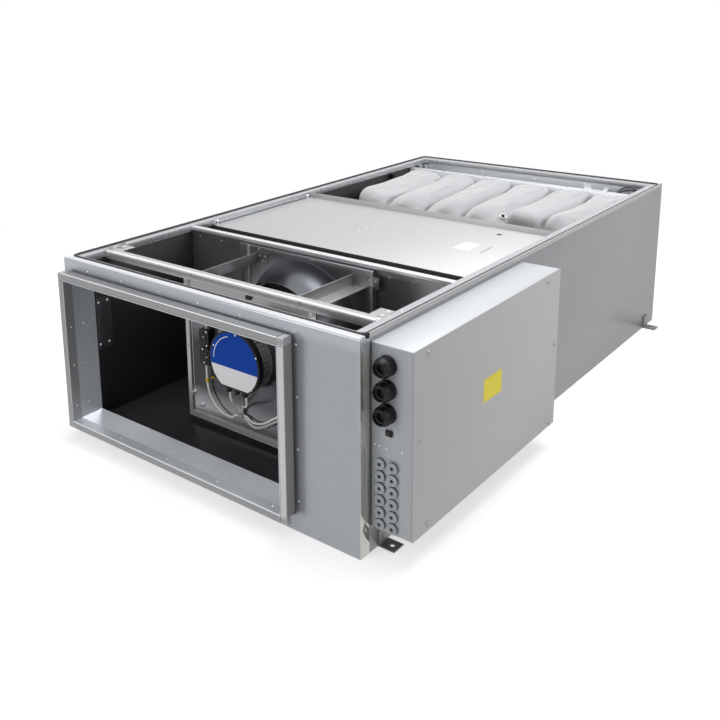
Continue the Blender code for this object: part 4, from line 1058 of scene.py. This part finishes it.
skin_outer = right_high.x
skin_sheet = 0.0017
skin_inner = skin_outer - skin_sheet
skin_low = 0.4924
skin_high = 0.4988
skin_front = front_high.y + 0.0004
skin_rear = rear_high.y
foam_top = 0.5031
skin_top = 0.5038
panels("rim_outer_skin", skin_zinc, "casing_zinc", 0.0003,
       (on_top, -skin_outer, skin_front, -skin_inner, skin_rear, 0.0, skin_low, skin_high),
       (on_top, skin_inner, skin_front, skin_outer, skin_rear, 0.0, skin_low, skin_high),
       (on_top, 0.0001 - skin_inner, skin_rear - skin_sheet, skin_inner - 0.0001, skin_rear, 0.0,
        skin_low, skin_high),
       (on_top, skin_outer - 0.0032, skin_front, skin_outer, skin_rear, 0.0, foam_top, skin_top),
       (on_top, skin_outer - 0.001, skin_front, skin_outer, skin_rear, 0.0, skin_high - 0.0002,
        foam_top))
# Painted highlight: the fold along the front wall's top is a strip of the bright rim zinc, for the light
# it catches.
panels("rim_front_fold", rim_bright, "casing_zinc", 0.0,
       (on_side, front_low.y + 0.0004, front_high.z - 0.0012, front_low.y + 0.0174,
        front_high.z + 0.0022, [0.0, 0.0, 0.0016, 0.003], 0.0004 - skin_outer, skin_outer - 0.0004))

# Casing fasteners

rivet_columns = (-0.387, -0.254, -0.116, 0.021, 0.154, 0.289)
rivet_z = 0.477
fasteners("front_panel_rivets", "rivet",
          [(0.316, front_low.y, z) for z in (0.448, 0.327, 0.203, 0.077)]
          + [(x, front_low.y, rivet_z) for x in rivet_columns],
          forward, bolt_zinc, 0.8)
fasteners("side_panel_screws", "screw",
          [(skin_outer, y, z) for y, z in ((-0.884, 0.486), (-0.468, 0.4895), (0.3, 0.47),
                                           (0.86, 0.47), (0.86, 0.1))],
          to_right, dull_bolt, 0.62)
fasteners("left_panel_screws", "screw",
          [(-skin_outer, y, z) for y in (-0.86, -0.2, 0.3, 0.86) for z in (0.03, 0.47)],
          to_left, dull_bolt, 0.62)
fasteners("rear_panel_rivets", "rivet", [(x, skin_rear, rivet_z) for x in (*rivet_columns, 0.42)],
          rearward, bolt_zinc, 0.8)
lip_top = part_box("rim_lip")[1].z
fasteners("rim_lip_screws", "screw",
          [(x, y, lip_top) for x, y in ((-0.461, 0.194), (-0.461, 0.277), (0.461, -0.711))],
          upward, bolt_zinc, 0.6)
wall_plate_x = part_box("left_wall_plate")[1].x
fasteners("left_wall_plate_rivets", "rivet",
          [(wall_plate_x, y, z) for y, z in ((-0.8245, 0.3577), (-0.794, 0.358),
                                             (-0.8265, 0.2368), (-0.796, 0.2376))],
          to_right, bolt_zinc, 1.1)

# Cross rail: upright ears and screws at its ends, screws along its front edge

rail_low, rail_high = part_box("front_cross_rail")
ear_top = 0.506
ear_low = rail_high.z - 0.006
ear_depths = (rail_low.x + 0.002, rail_low.x + 0.0034)
tab_depths = (rail_high.z + 0.0001, rail_high.z + 0.0013)
panels("cross_rail_ears", corner_zinc, "rim_bright", 0.0003,
       (on_side, rail_low.y + 0.004, ear_low, rail_low.y + 0.026, ear_top,
        [0, 0, 0.005, 0.005], *ear_depths),
       (on_side, rail_high.y - 0.03, ear_low, rail_high.y - 0.004, ear_top,
        [0, 0, 0.006, 0.006], *ear_depths),
       (on_top, rail_low.x + 0.0034, rail_high.y - 0.03, rail_low.x + 0.022, rail_high.y - 0.006,
        0.003, *tab_depths),
       (on_top, rail_high.x - 0.02, rail_high.y - 0.05, rail_high.x - 0.0005, rail_high.y - 0.004,
        0.003, *tab_depths))
# Painted highlight: a near white rounded strip along the rail's front top edge.
panels("cross_rail_edge", rail_edge_highlight, "rim_bright", 0.0,
       (on_side, rail_low.y - 0.0008, rail_high.z - 0.005, rail_low.y + 0.01, rail_high.z + 0.0014,
        0.0024, rail_low.x + 0.004, rail_high.x - 0.004))
fasteners("cross_rail_end_screws", "screw",
          [(x, y, 0.4993) for x, y in ((-0.438, -0.734), (0.44, -0.756), (0.438, -0.73))],
          upward, bolt_zinc, 0.75)
fasteners("cross_rail_front_screws", "screw", [(x, rail_low.y, 0.493) for x in (-0.115, 0.238)],
          forward, dull_bolt, 0.95)

# Fan plate: stiffening strips at its edges, bolts along its top and the plates of the two arms

fan_plate_low, fan_plate_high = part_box("fan_plate")
fan_face = fan_plate_low.y
arm_boxes = (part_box("fan_arm_left"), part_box("fan_arm_right"))
arm_plate_face = fan_face - 0.0022
panels("fan_plate_strips", rail_zinc, "inner_zinc", 0.0006,
       *[(on_front, x0, fan_plate_low.z + 0.004, x1, fan_plate_high.z - 0.0015, 0.001,
          fan_face + 0.0002, fan_face - 0.003)
         for x0, x1 in ((fan_plate_low.x + 0.03, fan_plate_low.x + 0.038),
                        (fan_plate_high.x - 0.006, fan_plate_high.x))])
panels("fan_arm_plates", inner_zinc, "inner_zinc", 0.0004,
       *[(on_front, high.x - 0.001, low.z + 0.002, high.x + 0.04, high.z + 0.004, 0.003,
          fan_face - 0.0002, arm_plate_face) for low, high in arm_boxes])
bolts = [(high.x + dx, arm_plate_face, high.z - 0.012 + dz) for low, high in arm_boxes
         for dx, dz in ((0.012, 0.004), (0.03, 0.004), (0.021, -0.01))]
bolts += [(x, fan_face, 0.476) for x in (-0.168, 0.022)]
fasteners("fan_plate_bolts", "bolt", bolts, forward, dull_bolt, 0.55)
partition_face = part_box("fan_partition")[0].y
fasteners("partition_rivets", "rivet",
          [(x, partition_face, z) for x in (-0.42, -0.33, 0.26, 0.33, 0.42) for z in (0.06, 0.26, 0.47)],
          forward, dull_bolt, 0.9)

# Motor plate: folded border, hexagon bolts, cable clip and corner clip

plate_front = plate_low.y
plate_face = -0.7001
clip_start = plate_front - 0.0011
border_low_x = plate_low.x + 0.013
border_high_x = plate_high.x - 0.012
border_low_z = plate_low.z + 0.017
border_high_z = plate_high.z - 0.01
border_depths = (plate_front + 0.0002, plate_front - 0.0005)
panels("motor_plate_border", border_zinc, "inner_zinc", 0.0002,
       *[(on_front, *sides, 0.0005, *border_depths)
         for sides in ((plate_low.x, plate_low.z, border_low_x, plate_high.z),
                       (border_high_x, plate_low.z, plate_high.x, plate_high.z),
                       (border_low_x, plate_low.z, border_high_x, border_low_z),
                       (border_low_x, border_high_z, border_high_x, plate_high.z))],
       (on_top, [(border_low_x - 0.0005, plate_front), (border_low_x + 0.006, plate_face),
                 (border_low_x - 0.0005, plate_face)], border_low_z + 0.001, border_high_z - 0.001))
bm = bmesh.new()
for x, z, turn in ((-0.214, 0.118, 0.2), (-0.184, 0.088, 0.9)):
    for profile, segments in (
            ([(0.0, -0.0002), (0.0075, -0.0002), (0.0075, 0.0014), (0.0, 0.0014)], 28),
            ([(0.0, 0.001), (0.0058, 0.001), (0.0058, 0.006), (0.005, 0.0066), (0.0, 0.0066)], 6),
            ([(0.0, 0.006), (0.0032, 0.006), (0.0032, 0.011), (0.0026, 0.0116), (0.0, 0.0116)], 16)):
        turned(bm, profile, aim((x, plate_face, z), forward, turn), segments)
piece("motor_plate_bolts", bm, bolt_zinc)
panels("motor_plate_cable_clip", black_plastic, "black_plastic", 0.001,
       (on_front, -0.004, 0.43, 0.014, 0.44, 0.002, clip_start, plate_front - 0.009),
       (on_front, 0.002, 0.439, 0.013, 0.446, 0.002, clip_start, plate_front - 0.006))
panels("motor_plate_corner_clip", white_plastic, "black_plastic", 0.0008,
       (on_front, 0.198, 0.428, 0.21, 0.443, 0.002, clip_start, plate_front - 0.005))
fasteners("motor_plate_screws", "screw",
          [(plate_low.x + 0.0065, border_depths[1], z) for z in (0.08, 0.25, 0.43)]
          + [(x, border_depths[1], plate_low.z + 0.0085) for x in (-0.16, 0.0, 0.15)],
          forward, dull_bolt, 0.6)

# Motor wiring: yellow connector, tie head and the sleeve above the terminal blocks

bm = bmesh.new()
turned(bm, [(0.0, -0.005), (0.004, -0.005), (0.0048, -0.0042), (0.0048, 0.0042), (0.004, 0.005),
            (0.0, 0.005)], aim((-0.1515, -0.7128, 0.172), (0.05, 0.0, 1.0)), 16)
turned(bm, [(0.0, -0.0022), (0.0034, -0.0022), (0.0034, 0.0022), (0.0, 0.0022)],
       aim((-0.138, -0.706, 0.18), (1.0, -0.3, 0.3)), 14)
piece("lead_connector", bm, yellow_plastic, edge=0.0004)
bm = bmesh.new()
turned(bm, [(0.0028, -0.003), (0.0042, -0.003), (0.0046, 0.0), (0.0042, 0.003), (0.0028, 0.003)],
       aim((-0.0355, -0.7085, 0.1125), (0.1, 0.0, 1.0)), 20, closed=True)
slab(bm, rounded(-0.04, 0.109, -0.03, 0.115, 0.001), on_front, -0.714, -0.7125)
piece("lead_tie_band", bm, bolt_zinc, edge=0.0003)
sleeve_radius = 0.0032
sleeve_sides = 14
sleeve_route = [Vector(place) for place in (
    (-0.147, -0.713, 0.319), (-0.1465, -0.713, 0.329), (-0.144, -0.7125, 0.338),
    (-0.14, -0.711, 0.346), (-0.137, -0.708, 0.352), (-0.135, -0.7042, 0.356))]
bm = bmesh.new()
rings = []
for index, place in enumerate(sleeve_route):
    along = sleeve_route[min(len(sleeve_route) - 1, index + 1)] - sleeve_route[max(0, index - 1)]
    turns = [math.tau * step / sleeve_sides for step in range(sleeve_sides)]
    rings.append([bm.verts.new(aim(place, along) @ Vector((sleeve_radius * math.cos(turn),
                                                           sleeve_radius * math.sin(turn), 0.0)))
                  for turn in turns])
tube(bm, rings)
bm.faces.new(rings[0][::-1])
bm.faces.new(rings[-1])
piece("terminal_entry_sleeve", bm, lead_white)

# Section cover: label, oval hole, slot, dimples, screws and raised bolts

cover_top = 0.4822
panels("cover_label", paper_white, "lid_paint", 0.0001,
       (on_top, [(0.269, -0.167), (0.32, -0.17), (0.318, -0.095), (0.27, -0.093)],
        cover_top - 0.0001, cover_top + 0.0004))
# Painted shade: the cover's oval hole and slot are dark sheets on its top.
panels("cover_holes", dark_rubber_and_hole_shade, "cover_zinc", 0.0,
       (on_top, arc((0.309, 0.033), 0.0075, 0, 345, 23), cover_top, cover_top + 0.0003),
       (on_top, [(0.3541, -0.1662), (0.3559, -0.1662), (0.3547, -0.0984), (0.3529, -0.0984)], cover_top,
        cover_top + 0.0003))
dimples = ((-0.0386, -0.241), (-0.0406, -0.204), (-0.0376, -0.176), (-0.0406, -0.134),
           (-0.0386, -0.1), (-0.0396, -0.059), (-0.0376, -0.015))
fasteners("cover_dimples", "rivet", [(x, y, cover_top) for x, y in dimples], upward, rim_bright,
          0.8)
fasteners("cover_screws", "screw", [(0.408, y, cover_top) for y in (-0.34, 0.064)], upward, bolt_zinc)
bm = bmesh.new()
for x, y in ((-0.44, -0.366), (-0.432, 0.067)):
    turned(bm, [(0.0, 0.0), (0.006, 0.0), (0.006, 0.0012), (0.0036, 0.0014), (0.0036, 0.011),
                (0.0058, 0.0112), (0.0058, 0.0145), (0.0048, 0.0155), (0.0, 0.0155)],
           aim((x, y, cover_top), upward), 20)
piece("cover_raised_bolts", bm, bolt_zinc)

# Filter section: frame screws, the zinc bracket beside the hose, corner catches and a clip

filter_low, filter_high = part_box("filter_frame")
filter_y = (filter_low.y + filter_high.y) / 2
fasteners("filter_frame_screws", "screw",
          [(x, filter_y, filter_high.z) for x in (-0.3, -0.13, 0.042, 0.2, 0.43)],
          upward, dull_bolt, 0.7)
fasteners("rear_inner_screws", "screw",
          [(x, rear_low.y, z) for x, z in ((-0.194, 0.474), (-0.02, 0.478), (0.026, 0.47),
                                           (0.22, 0.474))],
          forward, bolt_zinc, 0.85)
bracket_base = filter_high.z + 0.0002
bracket_top = bracket_base + 0.0015
panels("filter_zinc_bracket", rim_bright, "rim_bright", 0.0004,
       (on_top, 0.26, 0.745, 0.35, 0.766, 0.002, bracket_base, bracket_top),
       (on_front, 0.26, bracket_top, 0.285, 0.499, [0, 0, 0.006, 0.006], 0.764, 0.7655),
       (on_front, 0.33, bracket_top, 0.35, 0.495, [0, 0, 0.003, 0.003], 0.764, 0.7655),
       (on_side, 0.745, bracket_top, 0.764, 0.492, [0, 0, 0.004, 0.004], 0.3484, 0.3499))
catch_x = left_high.x + 0.0012
catch_depth = left_high.x + 0.01
panels("left_corner_catches", bolt_zinc, "rim_bright", 0.001,
       (on_side, 0.804, 0.46, 0.824, 0.481, 0.003, catch_x, catch_depth),
       (on_side, 0.842, 0.456, 0.862, 0.477, 0.003, catch_x, catch_depth))
panels("left_cable_clip", black_plastic, "black_plastic", 0.001,
       (on_side, 0.6, 0.466, 0.622, 0.481, 0.003, catch_x, left_high.x + 0.014),
       (on_side, 0.604, 0.46, 0.617, 0.466, 0.001, catch_x, catch_depth))

# Control box: dark seal line against the casing, lid screws, sticker, front screws and switch rocker

panels("control_box_seal", dark_rubber_and_hole_shade, "gasket_rubber", 0.0,
       (on_top, skin_outer + 0.0001, box_low.y - 0.0012, box_low.x + 0.0012, box_low.y + 0.001, 0.0,
        box_low.z + 0.002, box_high.z - 0.001))
fasteners("lid_screws", "screw",
          [(lid_face, y, z) for y, z in ((-0.8115, 0.468), (-0.251, 0.468), (-0.197, 0.288),
                                         (-0.206, 0.07), (-0.802, 0.078), (-0.8405, 0.287))],
          to_right, lid_bolt, 1.45)
panels("lid_sticker", sticker_yellow, "lid_paint", 0.0001,
       (on_side, -0.5715, 0.266, -0.486, 0.322, 0.001, lid_face - 0.0001, lid_face + 0.0003))
fasteners("box_front_screws", "rivet",
          [(x, box_low.y, z) for x, z in ((0.495, 0.259), (0.506, 0.258), (0.5245, 0.256),
                                          (0.562, 0.26))],
          forward, bolt_zinc, 0.6)
socket_low, socket_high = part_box("service_socket")
panels("service_socket_face", dark_rubber_and_hole_shade, "black_plastic", 0.0003,
       (on_front, socket_low.x + 0.0025, socket_low.z + 0.002, socket_high.x - 0.0025,
        socket_high.z - 0.002, 0.001, socket_low.y + 0.0002, socket_low.y - 0.0012))

# Feet: the screws in their upright legs

foot_sheet = 0.003
for end, y in (("front", -0.817), ("rear", 0.817)):
    for side, direction in (("left", -1.0), ("right", 1.0)):
        foot_low, foot_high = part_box(f"foot_{end}_{side}")
        upright = (foot_low.x + foot_sheet) if direction > 0 else (foot_high.x - foot_sheet)
        fasteners(f"foot_{end}_{side}_screws", "screw", [(upright, y, 0.032), (upright, y, 0.018)],
                  (direction, 0.0, 0.0), dull_bolt, 0.8)

# Filter pockets: fleece bags sewn from a lofted shell, blown up a little and left to wrinkle

pocket_rows = 36
pocket_columns = 56
pocket_settle = 0.0015
pocket_voxel = 0.006
pocket_pressure = 0.6
pocket_frames = 14
pocket_cap = 0.005
pocket_front_fall = 0.05
pocket_noise_seed = 7
pocket_rear_drops = (0.009, 0.012)

# For each pocket: left edge, ridge and right edge of its tip, the ridge at the frame, how far the
# tip's roof falls to the left and to the right, how far the tip stands back, how long its front slopes
pocket_shapes = (
    (-0.415, -0.404, -0.3045, -0.406, 0.008, 0.02, 0.0, 0.05),
    (-0.296, -0.212, -0.154, -0.205, 0.034, 0.036, 0.0, 0.085),
    (-0.146, -0.053, -0.004, -0.022, 0.036, 0.036, 0.0, 0.085),
    (0.004, 0.061, 0.146, 0.13, 0.036, 0.044, 0.0, 0.085),
    (0.154, 0.19, 0.284, 0.275, 0.034, 0.016, 0.02, 0.036),
    (0.304, 0.316, 0.444, 0.415, 0.008, 0.075, 0.0, 0.05),
)


def eased(start, stop, value):
    """0 before start, 1 after stop, smooth between."""
    share = max(0.0, min(1.0, (value - start) / (stop - start)))
    return share * share * (3 - 2 * share)


def blend(first, last, share):
    return first + (last - first) * share


def pocket_shell(bm, low, high, shape):
    """Closed loft from the filter frame to the sewn tip: a roof that falls away from a soft ridge."""
    tip_left, tip_ridge, tip_right, rear_ridge, fall_left, fall_right, back, slope = shape
    length = high.y - low.y - back
    rows = []
    for row in range(pocket_rows + 1):
        share = math.sin(math.pi / 2 * row / pocket_rows)
        distance = length * share
        left = blend(low.x + pocket_settle, tip_left, share)
        right = blend(high.x - pocket_settle, tip_right, share)
        ridge = blend(rear_ridge, tip_ridge, share)
        falls = [blend(rear, tip, share) for rear, tip in zip(pocket_rear_drops, (fall_left, fall_right))]
        past = max(0.0, 1 - (length - distance) / slope)
        top = high.z - 0.001 - 0.003 * math.sin(math.pi * share)
        top -= min(pocket_front_fall, slope) * (1 - math.sqrt(1 - past * past))
        bottom = low.z + 0.0025 + 0.012 * eased(0.75, 1.0, share)
        loop = []
        for column in range(pocket_columns):
            turn = 2 * math.pi * column / pocket_columns
            c, s = math.cos(turn), math.sin(turn)
            across = math.copysign(abs(c) ** 0.75, c)
            x = (left + right) / 2 + (right - left) / 2 * across
            if s >= 0:
                fall = falls[0] if x < ridge else falls[1]
                away = (ridge - x) / (ridge - left) if x < ridge else (x - ridge) / (right - ridge)
                z = top - fall * away ** 1.35 - 0.01 * away ** 8
            else:
                z = bottom + 0.01 * (1 - abs(s) ** 0.8)
            loop.append(bm.verts.new((x, high.y - distance, z)))
        rows.append(loop)
    for before, after in zip(rows, rows[1:]):
        for column in range(pocket_columns):
            following = (column + 1) % pocket_columns
            bm.faces.new((before[column], after[column], after[following], before[following]))
    bm.faces.new(rows[0])
    bm.faces.new(rows[-1][::-1])


def shell_mesh(obj, mesh):
    """Swaps in a new mesh and removes the old one and the modifiers."""
    old = obj.data
    obj.modifiers.clear()
    obj.data = mesh
    bpy.data.meshes.remove(old)


def evaluated_copy(obj):
    depsgraph = bpy.context.evaluated_depsgraph_get()
    return bpy.data.meshes.new_from_object(obj.evaluated_get(depsgraph))


def wrinkle(mesh, seed):
    """Slow soft folds before the cloth is let go."""
    for vertex in mesh.vertices:
        spot = Vector((vertex.co.x * 14, vertex.co.y * 7, vertex.co.z * 7)) + Vector((seed, seed * 2.7, 0))
        push = noise.noise_vector(spot)
        vertex.co += Vector((push.x * 0.0035, push.y * 0.001, push.z * 0.0035))
        spot = Vector((vertex.co.x * 38, vertex.co.y * 8 + seed, vertex.co.z * 18))
        crease = noise.noise_vector(spot)
        vertex.co += Vector((crease.x * 0.001, 0.0, crease.z * 0.0024))


def add_cloth(obj, held_y):
    """Cloth that is held at the filter frame and has a little pressure in it."""
    held = obj.vertex_groups.new(name="held")
    held.add([v.index for v in obj.data.vertices if v.co.y > held_y], 1.0, "REPLACE")
    cloth = obj.modifiers.new("cloth", "CLOTH")
    cloth.settings.vertex_group_mass = "held"
    cloth.settings.quality = 5
    cloth.settings.mass = 0.15
    cloth.settings.tension_stiffness = 12.0
    cloth.settings.compression_stiffness = 12.0
    cloth.settings.shear_stiffness = 4.0
    cloth.settings.bending_stiffness = 0.6
    cloth.settings.shrink_min = -0.035
    cloth.settings.use_pressure = True
    cloth.settings.uniform_pressure_force = pocket_pressure
    cloth.settings.effector_weights.gravity = 0.05
    cloth.collision_settings.use_collision = False
    cloth.collision_settings.use_self_collision = False


def settle(obj, start, low, high):
    """Takes the cloth's result, caps how far a point moved and keeps it clear of its neighbours."""
    mesh = evaluated_copy(obj)
    for vertex, rest in zip(mesh.vertices, start):
        move = vertex.co - rest
        if move.length > pocket_cap:
            move *= pocket_cap / move.length
        place = rest + move
        place.x = max(low.x - 0.001, min(high.x + 0.001, place.x))
        place.y = max(low.y - 0.004, min(high.y, place.y))
        place.z = max(low.z + 0.001, min(high.z + 0.006, place.z))
        vertex.co = place
    shell_mesh(obj, mesh)


def filter_pockets():
    waiting = []
    for number in range(1, 7):
        name = f"filter_pocket_{number}"
        low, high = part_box(name)
        bm = bmesh.new()
        pocket_shell(bm, low, high, pocket_shapes[number - 1])
        obj = piece(name + "_bag", bm, fleece, angle=math.radians(80))
        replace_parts(obj, name)
        remesh = obj.modifiers.new("remesh", "REMESH")
        remesh.mode = "VOXEL"
        remesh.voxel_size = pocket_voxel
        shell_mesh(obj, evaluated_copy(obj))
        wrinkle(obj.data, number * 3.1)
        waiting.append((obj, [v.co.copy() for v in obj.data.vertices], low, high))
    for obj, start, low, high in waiting:
        add_cloth(obj, high.y - 0.012)
    for number in range(1, pocket_frames + 1):
        scene.frame_set(number)
    for obj, start, low, high in waiting:
        settle(obj, start, low, high)
    scene.frame_set(1)
    for obj, start, low, high in waiting:
        obj.data.shade_smooth()
        softer = obj.modifiers.new("softer", "SUBSURF")
        softer.levels = 1
        softer.render_levels = 1
    return [entry[0] for entry in waiting]


noise.seed_set(pocket_noise_seed)
pockets = filter_pockets()
# Painted light: the pockets' fleece is coloured lighter below z = 0.436, on their front faces.
shade_where(fleece, 2, -1.0, 0.436, (0.58, 0.585, 0.6), 0.012)

# Oval clip on the front of the fourth pocket
clip_x = 0.134
clip_z = 0.435
near_clip = [v for v in pockets[3].data.vertices if v.co.y < 0.42]
clip_at = min(near_clip, key=lambda v: (v.co.x - clip_x) ** 2 + (v.co.z - clip_z) ** 2)
clip_place = (aim(clip_at.co + clip_at.normal * 0.001, clip_at.normal)
              @ Matrix.Diagonal((1.0, 0.62, 1.0, 1.0)))
clip_ring = [(0.0165, -0.002), (0.0165, 0.0018), (0.0155, 0.0034), (0.012, 0.0038), (0.0098, 0.0022),
             (0.0094, -0.002)]
clip_slot = [(0.0, -0.0015), (0.01, -0.0015), (0.01, 0.0012), (0.0, 0.0012)]
for name, profile, segments, closed, finish in (
        ("filter_pocket_clip", clip_ring, 40, True, paper_white),
        ("filter_pocket_clip_slot", clip_slot, 32, False, dark_rubber_and_hole_shade)):
    bm = bmesh.new()
    turned(bm, profile, clip_place, segments, closed)
    piece(name, bm, finish)

# Studio

background = 1.0
ambient = 0.32
floor_albedo = (0.66, 0.66, 0.66)
floor_lift = 0.56
floor_near = 0.9
floor_far = 2.6


def seen_directly(node):
    """1 for camera, mirror and glass rays, 0 for rays that light the object."""
    path = put(node, "ShaderNodeLightPath")
    seen = add(path.outputs["Is Camera Ray"], path.outputs["Is Glossy Ray"], clamp=True)
    return add(seen, path.outputs["Is Transmission Ray"], clamp=True)


def studio():
    """A plain white world and a pale floor that fades into it."""
    scene.world = bpy.data.worlds.new("studio")
    scene.world.use_nodes = True
    sky = scene.world.node_tree.nodes["Background"]
    sky.inputs["Color"].default_value = (1.0, 1.0, 1.0, 1.0)
    feed(sky, "Strength", maths("MULTIPLY_ADD", seen_directly(sky), background - ambient, ambient))

    bm = bmesh.new()
    turned(bm, [(0.0, 0.0), (2.0, 0.0), (6.0, 0.0), (30.0, 0.0)], Matrix.Identity(4), 64)
    mesh = bpy.data.meshes.new("studio_floor")
    bm.to_mesh(mesh)
    bm.free()
    ground = bpy.data.objects.new("studio_floor", mesh)
    scene.collection.objects.link(ground)
    finish, shader, place = surface("studio_floor_pale", floor_albedo, 0.9, Specular_IOR_Level=0.1)
    x, y, z = axes_of(place)
    fade = put(place, "ShaderNodeMapRange", Value=from_zero(x, y), From_Min=floor_near,
               From_Max=floor_far)
    fade.interpolation_type = "SMOOTHSTEP"
    seen = seen_directly(shader)
    lift = put(shader, "ShaderNodeEmission", Strength=times(seen, floor_lift))
    lit = put(shader, "ShaderNodeAddShader")
    feed(lit, 0, shader.outputs[0])
    feed(lit, 1, lift.outputs[0])
    plain = put(shader, "ShaderNodeEmission", Strength=background)
    path = put(shader, "ShaderNodeLightPath")
    plain_share = maths("MAXIMUM", fade.outputs[0], path.outputs["Is Glossy Ray"])
    choose = put(shader, "ShaderNodeMixShader")
    for index, value in enumerate((times(plain_share, seen), lit.outputs[0], plain.outputs[0])):
        feed(choose, index, value)
    feed(finish.node_tree.nodes["Material Output"], "Surface", choose.outputs[0])
    mesh.materials.append(finish)


def soft_lamp(name, location, target, size, power):
    data = bpy.data.lights.new(name, "AREA")
    data.shape = "SQUARE"
    data.size = size
    data.energy = power
    lamp = bpy.data.objects.new(name, data)
    scene.collection.objects.link(lamp)
    facing = (Vector(target) - Vector(location)).to_track_quat("-Z", "Y")
    lamp.matrix_world = Matrix.Translation(location) @ facing.to_matrix().to_4x4()


studio()
soft_lamp("lamp_above", (0.2, 0.4, 3.4), (0.0, 0.0, 0.3), 3.0, 106.0)
soft_lamp("lamp_right", (3.6, 0.2, 2.0), (0.4, 0.0, 0.3), 1.8, 16.0)
soft_lamp("lamp_front", (-0.8, -3.6, 1.9), (0.0, -0.8, 0.3), 1.8, 24.0)
scene.view_settings.view_transform = "Standard"

view_layer.update()
